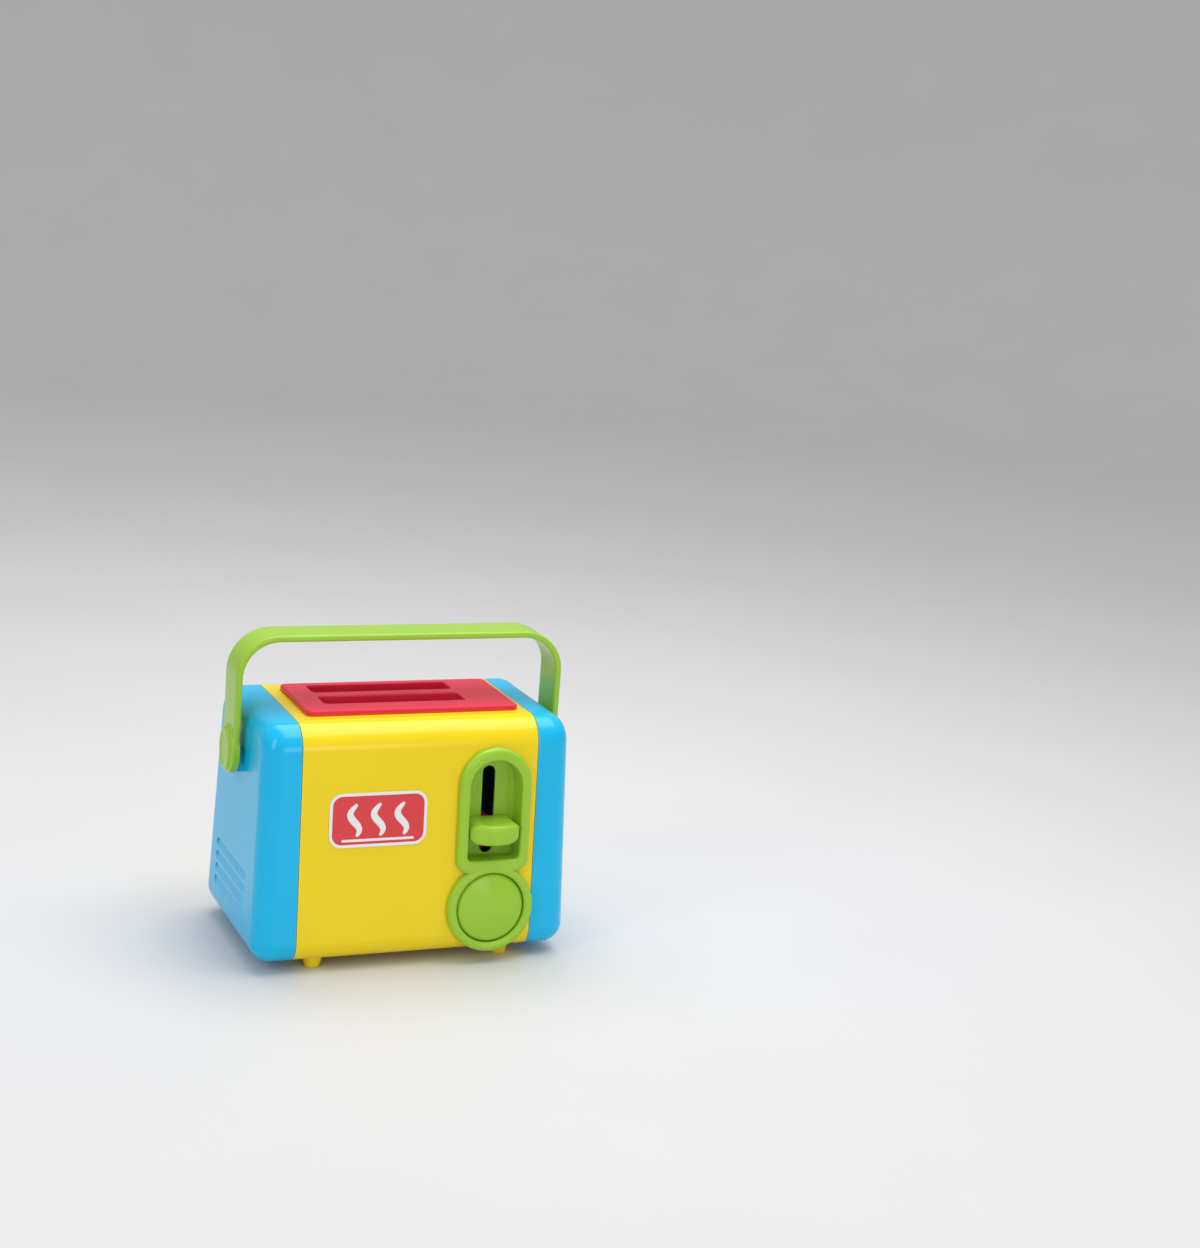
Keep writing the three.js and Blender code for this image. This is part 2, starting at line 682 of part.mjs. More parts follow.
// Control bezel: an arch with the lever's pocket above a ring with the button's well
function controlBezel() {
  const face = [[0, -endEdgeRadius], ...roundedTop(bezelProud, bezelEdge, 3)];
  const archPlate = stack(arch(archWidth, archBottom, archTop, archCorner), face, outwards);
  const ringPlate = stack(ringOutline(ringRadius), face, outwards);
  const bodyClear = inFront(stack(bodyLoop, [[-gap, -bodyWidth], [-gap, bodyWidth]], alongX));
  const rim = cut(join(archPlate, ringPlate), bodyClear);
  const root = 2 * gap;
  const tub = stack(pocket, [[-bezelWall, -pocketDepth - bezelWall], [-bezelWall, root]], outwards);
  const collar = prism(ringOutline(collarRadius), collarEnd, root, outwards);
  const pocketCut = stack(pocket, [[0, -pocketDepth], ...flare(bezelProud, pocketLip)], outwards);
  const well = prism(ringOutline(buttonRadius + buttonGap), -collarDepth, bezelProud + past, outwards);
  const leverSlot = prism(
    rectangle(
      controlX - leverSlotWidth / 2,
      controlX + leverSlotWidth / 2,
      pocketBottom + leverSlotFoot,
      armLow + armHeight + leverTravel + leverSlotPlay,
      leverSlotWidth / 2 - hair,
      5,
    ),
    -pocketDepth - bezelWall - past,
    past - pocketDepth,
    outwards,
  );
  const stemHole = prism(
    ringOutline(stemRadius + pinGap, roundSides),
    collarEnd - past,
    past - collarDepth,
    outwards,
  );
  const pilotEnd = screwCover - gap - bezelProud;
  const pilots = bezelScrewPlaces.map(([x, v]) =>
    bar(screwRadius + pinGap, vec(x, past, v), vec(x, pilotEnd, v), boltSides),
  );
  return cut(join(rim, tub, collar), pocketCut, well, leverSlot, stemHole, ...pilots);
}
place("control_bezel", controlBezel(), greenPlastic, front);
bezelScrewPlaces.forEach(([x, v], i) => {
  place(
    `bezel_screw_${i + 1}`,
    screw(vec(x, wall + gap, v), vec(0, -1, 0), bezelScrewLength),
    steel,
    front,
  );
});

// Release button with its stem, the stem's clip and its spring
function releaseButton() {
  const outline = ringOutline(buttonRadius);
  const domeSteps = 4;
  const dome = Array.from({ length: domeSteps }, (_, k) => {
    const share = (k + 1) / domeSteps;
    const inset = buttonRound + share * (buttonRadius - buttonRound - buttonCrown);
    return [inset, buttonEdge + buttonDome * Math.sin((share * Math.PI) / 2)];
  });
  const skirtEnd = buttonEdge - buttonSkirt;
  const rim = [[0, skirtEnd], [0, buttonEdge - buttonRound], [buttonRound, buttonEdge]];
  const disc = stack(outline, [...rim, ...dome], outwards);
  const underneath = prism(ringOutline(buttonRadius - wall), skirtEnd - past, buttonEdge - wall, outwards);
  const stem = stack(
    ringOutline(stemRadius, roundSides),
    [[stemRadius - stemTipRadius, -stemLength], [0, stemTipLength - stemLength], [0, buttonEdge]],
    outwards,
  );
  const clipHigh = collarEnd - buttonTravelOut - gap;
  const clipLow = clipHigh - clipThickness;
  const grooveRadius = stemRadius - grooveDepth;
  const groove = cut(
    prism(ringOutline(stemRadius + past, roundSides), clipLow - gap, clipHigh + gap, outwards),
    prism(ringOutline(grooveRadius, roundSides), clipLow - past, clipHigh + past, outwards),
  );
  const clip = cut(
    prism(ringOutline(clipRadius, roundSides), clipLow, clipHigh, outwards),
    prism(ringOutline(grooveRadius + gap, roundSides), clipLow - past, clipHigh + past, outwards),
  );
  return { button: cut(join(cut(disc, underneath), stem), groove), clip };
}
const { button, clip } = releaseButton();
place("release_button", button, greenPlastic, front);
place("button_clip", clip, springSteel, front);
const springLow = -collarDepth + gap + buttonWire;
const springHigh = buttonEdge - wall - gap - buttonWire;
const buttonSpring = new Helix(buttonSpringRadius, springHigh - springLow, buttonCurls, (u, v, along) =>
  vec(controlX + u, -springLow - along, ringHeight + v),
);
place("button_spring", wire(buttonSpring, buttonWire, buttonCurls * curlSteps), springSteel, front);

// Lever knob: rounded at the front, in the pocket at the back, with a socket for the arm
const pocketFloor = onFront(0, -pocketDepth, knobLow).y;
const knobBack = pocketFloor - slideGap;
const knobFront = onFront(0, knobReach, knobLow + knobHeight / 2).y;
const armFront = knobBack - tangLength;

function leverKnob() {
  const half = pocketWidth / 2 - slideGap;
  const shoulder = (knobFront + knobBack) / 2;
  const outline = (inset) => {
    const nose = Array.from({ length: noseSteps + 1 }, (_, k) => {
      const angle = Math.PI * (1 + k / noseSteps);
      const reach = shoulder - knobFront - inset;
      return [controlX + (half - inset) * Math.cos(angle), shoulder + reach * Math.sin(angle)];
    });
    return [...nose, [controlX + half - inset, knobBack], [controlX - half + inset, knobBack]];
  };
  const high = knobLow + knobHeight;
  const topEdge = roundedTop(high, knobEdge, 3);
  const lowEdge = roundedTop(-knobLow, knobEdge, 3).map(([inset, height]) => [inset, -height]).reverse();
  const body = stack(outline, [...lowEdge, ...topEdge], alongZ);
  const sides = rectangle(controlX - half, controlX + half, knobLow, high, knobCorner, 5);
  const silhouette = prism(sides, knobFront - past, knobBack + past, alongY);
  const socket = box(
    controlX - armThickness / 2 - gap,
    controlX + armThickness / 2 + gap,
    armFront - gap,
    knobBack + past,
    armLow - gap,
    armLow + armHeight + gap,
  );
  return cut(body.intersect(silhouette), socket);
}
place("lever_knob", leverKnob(), greenPlastic);

// Toast carriage: two trays, two bushes on the rods, the lever's arm and the catch
function toastCarriage() {
  const half = slotLength / 2 - trayEndPlay;
  const [trayX0, trayX1] = [slotX - half, slotX + half];
  const lipTop = trayHigh + trayLip;
  const lips = slotYs.flatMap((y) =>
    [-1, 1].map((side) => {
      const outer = y + side * (slotWidth / 2 - trayPlay);
      const inner = outer - side * trayLipWall;
      return box(trayX0, trayX1, Math.min(outer, inner), Math.max(outer, inner), trayLow, lipTop);
    }),
  );
  const trayY0 = slotYs[0] - slotWidth / 2 + trayPlay;
  const trayY1 = slotYs[1] + slotWidth / 2 - trayPlay;
  const floor = box(trayX0, trayX1, trayY0, trayY1, trayLow, trayHigh);
  const bushes = rodXs.map((x) => post(bushRadius, x, rodY, trayLow, trayLow + bushHeight));
  const bridge = box(rodXs[0], rodXs[1], rodY - bridgeWidth / 2, rodY + bridgeWidth / 2, trayLow, lipTop);
  const bridgeGap = box(trayX0, trayX1, rodY - bridgeWidth, rodY + bridgeWidth, trayHigh, lipTop + past);
  const armTop = armLow + armHeight;
  const arm = [
    [rodY, trayLow],
    [rodY, armTop],
    [armFront, armTop],
    [armFront, armLow],
    [rodY - armRoot, armLow],
    [rodY - armRoot, trayLow],
  ];
  const catchFront = pin.y - catchThickness / 3;
  const catchBack = catchFront + catchThickness;
  const catchTip = pin.y - hookReach + catchClear;
  const catchTop = pin.z + hookRise - catchDip;
  const catchOutline = [
    [catchBack, armLow + past],
    [catchFront, armLow + past],
    [catchFront, catchTop],
    [catchTip, catchTop],
    [catchTip, catchTop - catchDrop / 2],
    [catchFront, catchTop - catchDrop],
    [catchBack, catchTop - catchDrop],
  ];
  const armBlade = blade(arm, controlX, armThickness);
  const catchBlade = blade(catchOutline, controlX, armThickness);
  const bores = rodXs.map((x) => post(rodRadius + pinGap, x, rodY, 0, bodyTop));
  return cut(join(cut(join(floor, bridge), bridgeGap), ...lips, ...bushes, armBlade, catchBlade), ...bores);
}
place("toast_carriage", toastCarriage(), redPlastic);

// Guide rods between the base and the panel, each with a lift spring under its bush
rodXs.forEach((x, i) => {
  const side = ["left", "right"][i];
  place(`guide_rod_${side}`, post(rodRadius, x, rodY, baseTop + gap, panelLow - rodSocket - gap), steel);
  const low = bossTop + gap + liftWire;
  const length = trayLow - gap - liftWire - low;
  const radius = (rodRadius + bushRadius) / 2;
  const curl = new Helix(radius, length, liftCurls, (u, v, along) => vec(x + u, rodY + v, low + along));
  place(`lift_spring_${side}`, wire(curl, liftWire, liftCurls * curlSteps), springSteel);
});

// Latch: a hook on a pin, turned by the button's stem and returned by a torsion spring
function latchHook() {
  const half = latchThickness / 2;
  const tailEnd = stemTip.z - latchTail;
  const hookFront = pin.y - hookReach;
  const bladeFront = hookFront - hookNose - latchThickness;
  const bladeBack = bladeFront + latchThickness;
  const hookLow = pin.z + hookRise;
  const outline = [
    [pin.y - half, tailEnd],
    [pin.y + half, tailEnd],
    [pin.y + half, pin.z + half],
    [bladeBack, pin.z + latchShoulder],
    [bladeBack, hookLow],
    [hookFront, hookLow],
    [hookFront - hookNose, hookLow + hookHeight],
    [bladeFront, hookLow + hookHeight],
    [bladeFront, pin.z + latchShoulder - half],
    [pin.y - half, pin.z - half],
  ];
  const hubEnds = [-1, 1].map((side) => vec(controlX + (side * latchWidth) / 2, pin.y, pin.z));
  const lugTop = pin.z - lugDrop;
  const lugFar = cheekInner - 2 * gap;
  const lug = sideBox(1, latchWidth / 2 - past, lugFar, pin.y - half, stopFace, lugTop - lugHeight, lugTop);
  return cut(join(blade(outline, controlX, latchWidth), bar(latchHub, ...hubEnds), lug), pinHole);
}
place("latch_hook", latchHook(), steel);
const pinEnds = [-1, 1].map((side) => vec(controlX + side * cheekOuter, pin.y, pin.z));
const latchPin = bar(pinRadius, ...pinEnds);
place("latch_pin", latchPin, steel);

function latchSpring() {
  const bearing = stopFace + gap + latchWire;
  const first = controlX + latchWidth / 2 + gap + 2 * latchWire;
  const last = controlX + cheekInner - gap - latchWire;
  const length = last - first;
  const coil = new Helix(bearing - pin.y, length, latchCurls, (u, v, along) =>
    vec(first + along, pin.y + u, pin.z - v),
  );
  const path = new THREE.CurvePath();
  path.add(new THREE.LineCurve3(vec(first, bearing, pin.z + cheekRise), coil.getPoint(0)));
  path.add(coil);
  path.add(new THREE.LineCurve3(coil.getPoint(1), vec(last, bearing, pin.z - lugDrop - lugHeight)));
  return wire(path, latchWire, (latchCurls + 1) * curlSteps * 2);
}
place("latch_spring", latchSpring(), springSteel);

// Carry handle: a flat band bent into a bail, with ears and pegs, and what holds the pegs
const pivotScrewRadius = screwRadius * pivotScrewScale;

function carryHandle() {
  const half = bandWidth / 2;
  const middle = pivotHeight + earRise;
  const bandLoop = (reach, low, high, radius) => (inset) => {
    const [a, b] = [inset - reach, reach - inset];
    const radii = [leastRadius, leastRadius, radius - inset, radius - inset];
    return roundedLoop([[a, low], [b, low], [b, high - inset], [a, high - inset]], radii, 6);
  };
  const edges = (side) => {
    const near = roundedTop(half, bandEdge, 2, side);
    return [...near.map(([inset, height]) => [inset, -height]).reverse(), ...near];
  };
  const outer = stack(bandLoop(armOuter, middle, handleTop, bandCorner), edges(1), alongY);
  const innerTop = handleTop - bandThickness;
  const innerLow = middle - 2 * bandEdge;
  const inner = stack(
    bandLoop(armInner, innerLow, innerTop, bandCorner - bandThickness),
    [[-bandEdge, -half - past], ...edges(-1), [-bandEdge, half + past]],
    alongY,
  );
  const earFace = armInner + earThickness;
  const ear = stack(
    oval(0, middle, earWidth / 2, earHeight / 2, earSides),
    [[0, armInner], ...roundedTop(earFace, earEdge, 2)],
    alongX,
  );
  const pad = stack(
    oval(0, middle, padWidth / 2, padHeight / 2, earSides),
    [[0, armInner + past], ...roundedTop(earFace + padThickness, padEdge, 2)],
    alongX,
  );
  const peg = axle(pegRadius, pegEnd, armInner + past);
  const pilot = axle(pivotScrewRadius + pinGap, pegEnd - past, armInner - past, boltSides);
  const side = join(ear, pad, peg);
  return cut(join(cut(outer, inner), side, mirrored(side)), pilot, mirrored(pilot));
}
place("carry_handle", carryHandle(), greenPlastic);

const washerOuter = pegEnd - gap;
const washerInner = washerOuter - washerThickness;
const washer = cut(
  axle(washerRadius, washerInner, washerOuter),
  axle(pivotScrewRadius + pinGap, washerInner - past, washerOuter + past, boltSides),
);
const screwSeat = vec(washerInner - gap, 0, pivotHeight);
const pivotScrew = screw(screwSeat, vec(1, 0, 0), pegLength - past, pivotScrewScale);
place("pivot_washer_right", washer, steel);
place("pivot_washer_left", mirrored(washer), steel);
place("pivot_screw_right", pivotScrew, steel);
place("pivot_screw_left", mirrored(pivotScrew), steel);

// Label on the front, a plain rounded plate
const label = prism(
  rectangle(
    labelX - labelWidth / 2,
    labelX + labelWidth / 2,
    labelLow,
    labelLow + labelHeight,
    labelCorner,
    5,
  ),
  gap,
  gap + labelThickness,
  outwards,
);
place("front_label", label, labelPaper, front);

// The box is centred on Y: the knob stands out further than the back
toaster.position.y = -(knobFront + halfDepthAt(underside + bottomEdgeRadius)) / 2;

export default toaster;
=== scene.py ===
import math

import bmesh
import bpy
from bpy.props import FloatProperty, FloatVectorProperty, IntProperty, PointerProperty
from bpy.types import NodeSocket, Operator, Panel, PropertyGroup
from mathutils import Matrix, Vector


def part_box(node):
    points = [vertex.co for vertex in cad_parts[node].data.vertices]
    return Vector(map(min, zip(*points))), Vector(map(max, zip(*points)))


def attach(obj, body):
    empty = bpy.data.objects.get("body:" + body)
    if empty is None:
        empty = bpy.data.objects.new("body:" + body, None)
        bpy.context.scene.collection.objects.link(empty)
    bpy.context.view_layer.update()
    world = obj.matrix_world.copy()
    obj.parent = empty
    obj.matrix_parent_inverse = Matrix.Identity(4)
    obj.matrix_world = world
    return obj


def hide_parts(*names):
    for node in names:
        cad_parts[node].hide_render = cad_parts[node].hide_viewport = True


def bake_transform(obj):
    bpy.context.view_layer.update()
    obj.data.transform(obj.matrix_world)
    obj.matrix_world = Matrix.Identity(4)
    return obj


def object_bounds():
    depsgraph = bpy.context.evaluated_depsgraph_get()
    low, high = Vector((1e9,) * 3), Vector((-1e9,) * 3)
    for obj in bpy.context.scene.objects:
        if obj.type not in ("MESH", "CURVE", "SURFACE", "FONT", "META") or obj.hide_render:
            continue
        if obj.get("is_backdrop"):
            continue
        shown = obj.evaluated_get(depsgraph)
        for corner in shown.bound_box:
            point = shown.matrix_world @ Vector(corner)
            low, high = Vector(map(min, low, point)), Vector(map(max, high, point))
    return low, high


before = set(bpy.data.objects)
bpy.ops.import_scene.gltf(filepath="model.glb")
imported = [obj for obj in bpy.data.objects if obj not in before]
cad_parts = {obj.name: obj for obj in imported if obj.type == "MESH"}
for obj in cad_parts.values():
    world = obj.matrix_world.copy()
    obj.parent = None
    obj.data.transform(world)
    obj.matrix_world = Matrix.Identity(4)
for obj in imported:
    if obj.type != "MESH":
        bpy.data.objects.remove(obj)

bl_info = {
    "name": "Toy toaster",
    "version": (1, 0, 0),
    "blender": (4, 5, 0),
    "location": "3D View > Sidebar > Toaster",
    "description": "Dresses the toy toaster's frame with finished pieces, a studio and a camera",
    "category": "Add Mesh",
}

# Sizes are in millimetres, in the body's own frame: X across, Y back from the body's middle, Z up
MM = 0.001


def extent(node):
    """The lowest and highest corner of a frame node, in millimetres."""
    low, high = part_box(node)
    return low / MM, high / MM


CAP_LOW, CAP_HIGH = extent("right_end_cap")
PANEL_LOW, PANEL_HIGH = extent("slot_panel")
KNOB_LOW, KNOB_HIGH = extent("lever_knob")
CARRIAGE_LOW, CARRIAGE_HIGH = extent("toast_carriage")
BUTTON_LOW, BUTTON_HIGH = extent("release_button")
BEZEL_LOW, BEZEL_HIGH = extent("control_bezel")
PIN_LOW, PIN_HIGH = extent("latch_pin")
WASHER_LOW, WASHER_HIGH = extent("pivot_washer_right")

GAP = 0.3
WALL = 2.2
HAIR = 0.02
PAST = 1.0
SLIVER = 0.0001

# Body
MID_Y = (CAP_LOW.y + CAP_HIGH.y) / 2
UNDERSIDE = CAP_LOW.z
BASE_TOP = UNDERSIDE + WALL
BODY_TOP = CAP_HIGH.z
SHELL_END = extent("body_shell")[1].x
SEAM = SHELL_END + GAP / 2
CAP_START = SEAM + GAP / 2
BODY_WIDTH = 200.0
BOTTOM_DEPTH = 130.5
TOP_DEPTH = 114.5
END_TAPER = 3.6
TOP_EDGE = 17.0
BOTTOM_EDGE = 13.0
END_EDGE = 13.0
SPIGOT_LENGTH = 6.0
SPIGOT_WALL = 1.8
SPIGOT_ROOT = 2.0
LOUVRES = 4
LOUVRE_WIDTH = 72.0
LOUVRE_HEIGHT = 5.2
LOUVRE_DEPTH = 1.6
LOUVRE_PITCH = 8.3
LOUVRE_TOP = 56.0
LOUVRE_Y = 3.0
POST_RADIUS = 3.5
POST_HEIGHT = 17.0
RIB_THICKNESS = 2.0
RIB_RISE = 5.0
PILOT_DEPTH = 14.0
LEAN = math.atan((BOTTOM_DEPTH - TOP_DEPTH) / 2 / (BODY_TOP - UNDERSIDE))

# Slots and carriage
SLOT_LENGTH = 92.0
SLOT_WIDTH = 18.0
SLOT_X = -5.5
SLOT_YS = (-9.0, 18.0)
SLOT_CORNER = 3.0
SLOT_LIP = 1.2
CHUTE_WALL = 1.8
PANEL_CORNER = 4.0
PANEL_EDGE = 1.3
PANEL_PLATE_LOW = BODY_TOP + GAP
ROD_Y = sum(SLOT_YS) / 2
ROD_RADIUS = 2.0
BUSH_RADIUS = 4.3
BUSH_HEIGHT = 18.0
ROD_BOSS = 7.0
ROD_EASE = 0.5
TRAY_LOW = 62.0
TRAY_THICKNESS = 2.0
TRAY_LIP = 6.0
LIP_WALL = 1.6
TRAY_PLAY = (2.2, 1.2)
BRIDGE_HALF = 3.0
ARM_LOW = 82.75
ARM_HEIGHT = 7.0
ARM_HALF = 2.5
ARM_ROOT = 9.0
ARM_GRIP = 7.0
LIFT_WIRE = 0.5

# Controls, on the leaning front face
CONTROL_X = (BEZEL_LOW.x + BEZEL_HIGH.x) / 2
RING_RADIUS = (BEZEL_HIGH.x - BEZEL_LOW.x) / 2
RING_UP = 36.0
RING_RIM = 5.9
BEZEL_PROUD = 5.3
BEZEL_EDGE = 3.2
BEZEL_WALL = 1.6
ARCH_WIDTH = 47.2
ARCH_LOW = 58.5
ARCH_HIGH = 138.3
ARCH_CORNER = 9.0
POCKET_WIDTH = 34.0
POCKET_LOW = 67.0
POCKET_HIGH = 130.5
POCKET_CORNER = 3.0
POCKET_DEPTH = 10.0
POCKET_LIP = 1.6
POCKET_FILLET = 2.4
LEVER_SLOT_WIDTH = 8.4
LEVER_SLOT_LOW = POCKET_LOW + 1
LEVER_SLOT_HIGH = 123.95
LEVER_SLOT_LIP = 0.5
KNOB_FOOT = 4.6
KNOB_TOP = 3.6
KNOB_SIDE = 6.6
KNOB_BACK = 2.6
COLLAR_DEPTH = 8.0
WELL_RADIUS = RING_RADIUS - RING_RIM
COLLAR_RADIUS = WELL_RADIUS + BEZEL_WALL
COLLAR_END = -COLLAR_DEPTH - BEZEL_WALL
BUTTON_RADIUS = (BUTTON_HIGH.x - BUTTON_LOW.x) / 2
WELL_LIP = 2.4
BUTTON_EDGE = 4.2
BUTTON_ROUND = 3.0
BUTTON_DOME = 2.4
BUTTON_FLAT = 0.3
BUTTON_SKIRT = 8.2
STEM_RADIUS = 3.6
STEM_LENGTH = 23.0
STEM_TIP = 0.8
STEM_POINT = 3.0
GROOVE_DEPTH = 0.6
CLIP_THICKNESS = 1.2
CLIP_RADIUS = 6.5
CLIP_PLAY = 1.0
BUTTON_WIRE = 0.4
BUTTON_SPRING_RADIUS = 6.0

# Latch
PIN_Y = (PIN_LOW.y + PIN_HIGH.y) / 2 - MID_Y
PIN_Z = (PIN_LOW.z + PIN_HIGH.z) / 2
PIN_HOLE = 1.8
LATCH_WIRE = 0.35
CHEEK_INNER = 6.0
CHEEK_OUTER = 8.5
CHEEK_HALF = 4.5
CHEEK_BACK = 9.0
CHEEK_RISE = 7.0
CHEEK_DROP = 4.0
# From the pin: the block for the spring's leg (x, both y, z) and the carriage's catch
STOP_CORNERS = (3.6, -1.5, 1.8, 4.6)
CATCH_YS = (-1.0, 2.0, -4.0)
CATCH_RISE = 12.0

# Handle
HANDLE_TOP = extent("carry_handle")[1].z
PIVOT_UP = (WASHER_LOW.z + WASHER_HIGH.z) / 2
PAD_THICKNESS = 1.6
EAR_THICKNESS = 5.4
BAND_THICKNESS = 4.4
BAND_WIDTH = 27.0
BAND_CORNER = 27.0
BAND_EDGE = 1.5
BAND_CROWN = 0.3
EAR_SIZE = (29.0, 31.0)
PAD_SIZE = (23.0, 27.0)
EAR_RISE = 7.5
EAR_EDGE = 1.6
PAD_EDGE = 1.4
PAD_RIM = 1.1
DISH_WIDTH = 5.5
DISH_DEPTH = 0.8
PEG_RADIUS = 5.0
PEG_LENGTH = 9.0
PEG_BORE = 1.86
PIVOT_BOSS = 8.0

# Feet and screws
FOOT_PLACES = [(x * 61.0, y * 50.15) for x in (-1, 1) for y in (-1, 1)]
FOOT_RADIUS = 6.5
FOOT_TAPER = 1.6
SOLE_EASE = ((0.8, 0), (0.5, 0.06), (0.2, 0.3), (0, 0.8))
BASE_REACH = FOOT_PLACES[-1][1] + FOOT_RADIUS + 0.6
COUNTERBORE = 4.8
SCREW_RADIUS = 1.2
SCREW_HEAD = 2.5
SCREW_HEAD_HEIGHT = 1.6
# Shares of a head's radius and height, and of its radius for the cross
PAN_HEAD = ((0.55, 1), (0.7, 0.975), (0.88, 0.78), (0.97, 0.5), (1, 0.2))
CROSS = (0.52, 0.11)
THREAD_PITCH = 0.8
THREAD_DEPTH = 0.22
THREAD_START = 0.6
SCREW_COVER = 1.4
BEZEL_SCREW_X = 12.0
PIVOT_SCREW_SCALE = 1.3

# Label, a plain plaque with waves
LABEL_X = -27.0
LABEL_LOW = 79.0
LABEL_WIDTH = 62.0
LABEL_HEIGHT = 34.0
LABEL_CORNER = 8.0
LABEL_FILM = 0.3
LABEL_MARGIN = 1.9
PRINT_LIFT = 0.03
PRINT_ROOT = 0.15
WAVE_XS = (-15.0, 0.0, 15.0)
WAVE_SWAY = 3.0
WAVE_RISE = 20.0
WAVE_HALF = 2.2
BAR_HALF = 23.0
BAR_LOW = 3.6
BAR_HIGH = 5.2

# The photograph's camera: its place, its view and its lens
CAMERA_PLACE = Vector((-444.1, -1293.46, 518.9))
CAMERA_YAW = math.radians(24.09)
CAMERA_PITCH = math.radians(12.604)
CAMERA_ROLL = math.radians(4.63)
PHOTO_HEIGHT = 1248
FOCAL_PIXELS = 2240.9
SENSOR = 36.0

# Stage: the floor's flat part, its round wall, and what the lights point at, in metres
FLOOR_RADIUS = 2600.0
WALL_RADIUS = 4000.0
WALL_TOP = 1800.0
LIGHT_TARGET = Vector((0, 0, 0.09))


def sizes():
    return bpy.context.scene.toaster_sizes


def colours():
    return bpy.context.scene.toaster_colours


def half_depth_at(z):
    return BOTTOM_DEPTH / 2 - (z - UNDERSIDE) * math.tan(LEAN)


def end_at(z):
    return BODY_WIDTH / 2 + END_TAPER * (0.5 - (z - UNDERSIDE) / (BODY_TOP - UNDERSIDE))


FRONT = Matrix.Translation((0, -half_depth_at(0), 0)) @ Matrix.Rotation(-LEAN, 4, "X")
ARM_INNER = end_at(PIVOT_UP) + 3.2
ARM_OUTER = ARM_INNER + BAND_THICKNESS
PEG_END = ARM_INNER - PEG_LENGTH


# Outlines: a shape is a function that gives its points at an inset

def quarter(steps):
    """The angles through a quarter turn, both ends included."""
    return [math.pi / 2 * k / steps for k in range(steps + 1)]


def circle(sides):
    """The angles round a full turn."""
    return [2 * math.pi * k / sides for k in range(sides)]


def rounded_loop(corners, radii, steps):
    """A closed outline with rounded corners, anticlockwise."""
    points = []
    for i, corner in enumerate(corners):
        corner = Vector(corner)
        before = (Vector(corners[i - 1]) - corner).normalized()
        after = (Vector(corners[(i + 1) % len(corners)]) - corner).normalized()
        half = math.acos(before.dot(after)) / 2
        centre = corner + (before + after).normalized() * radii[i] / math.sin(half)
        start = corner + before * radii[i] / math.tan(half) - centre
        sweep = math.pi - 2 * half
        points += [centre + Matrix.Rotation(sweep * k / steps, 2) @ start for k in range(steps + 1)]
    return points


def body_outline(inset):
    """The body's section across Y and Z."""
    low, high = UNDERSIDE + inset, BODY_TOP - inset
    reach = inset / math.cos(LEAN)
    a, b = half_depth_at(low) - reach, half_depth_at(high) - reach
    radii = [max(radius - inset, 0.3) for radius in (BOTTOM_EDGE, BOTTOM_EDGE, TOP_EDGE, TOP_EDGE)]
    return rounded_loop([(-a, low), (a, low), (b, high), (-b, high)], radii, sizes().fillet_steps)


def rectangle(u0, u1, v0, v1, radius, steps=8):
    def outline(inset):
        a, b, c, d = u0 + inset, u1 - inset, v0 + inset, v1 - inset
        radii = [max(radius - inset, 0.1)] * 4
        return rounded_loop([(a, c), (b, c), (b, d), (a, d)], radii, steps)

    return outline


def arch(width, low, high, corner):
    def outline(inset):
        half = width / 2 - inset
        a, b, c, d = CONTROL_X - half, CONTROL_X + half, low + inset, high - inset
        foot, top = max(corner - inset, 0.3), half - HAIR
        return rounded_loop([(a, c), (b, c), (b, d), (a, d)], [foot, foot, top, top], 20)

    return outline


def oval(u, v, half_u, half_v=None, sides=96):
    half_v = half_v or half_u

    def outline(inset):
        return [
            Vector((u + (half_u - inset) * math.cos(t), v + (half_v - inset) * math.sin(t)))
            for t in circle(sides)
        ]

    return outline


def ring_outline(radius, sides=96):
    return oval(CONTROL_X, RING_UP, radius, sides=sides)


POCKET = arch(POCKET_WIDTH, POCKET_LOW, POCKET_HIGH, POCKET_CORNER)
ROD_XS = (SLOT_X - (CONTROL_X - SLOT_X), CONTROL_X)
ROD_PLACES = [(x, ROD_Y) for x in ROD_XS]


# Where an outline's plane and its height go

def along_x(u, v, height):
    return Vector((height, u, v))


def along_y(u, v, height):
    return Vector((u, height, v))


def along_z(u, v, height):
    return Vector((u, v, height))


def from_end(u, v, height):
    """Out of the right end's slightly sloping face."""
    return Vector((end_at(v) + height, u, v))


def on_front(u, v, height):
    """Across and up the leaning front face, with the height out of it."""
    return FRONT @ Vector((u, -height, v))


def aimed(start, axis):
    """From a start along any axis."""
    start = Vector(start)
    turn = Vector((0, 0, 1)).rotation_difference(Vector(axis)).to_matrix()
    return lambda u, v, height: start + turn @ Vector((u, v, height))


# Stations are (inset, height): how an outline shrinks on the way up

def rounded_top(top, radius, steps=6):
    return [
        (radius * (1 - math.cos(t)), top - radius + radius * math.sin(t)) for t in quarter(steps)
    ]


def rounded_foot(low, radius, steps=6):
    return [(inset, 2 * low - height) for inset, height in reversed(rounded_top(low, radius, steps))]


def flare(top, lip, steps=6):
    """A hole's rounded mouth, and past it."""
    rim = [(lip * (math.cos(t) - 1), top - lip + lip * math.sin(t)) for t in quarter(steps)]
    return rim + [(-lip, top + PAST)]


def filleted_floor(floor, radius, steps=6):
    return [
        (radius * (1 - math.sin(t)), floor + radius * (1 - math.cos(t))) for t in quarter(steps)
    ]


# Meshes

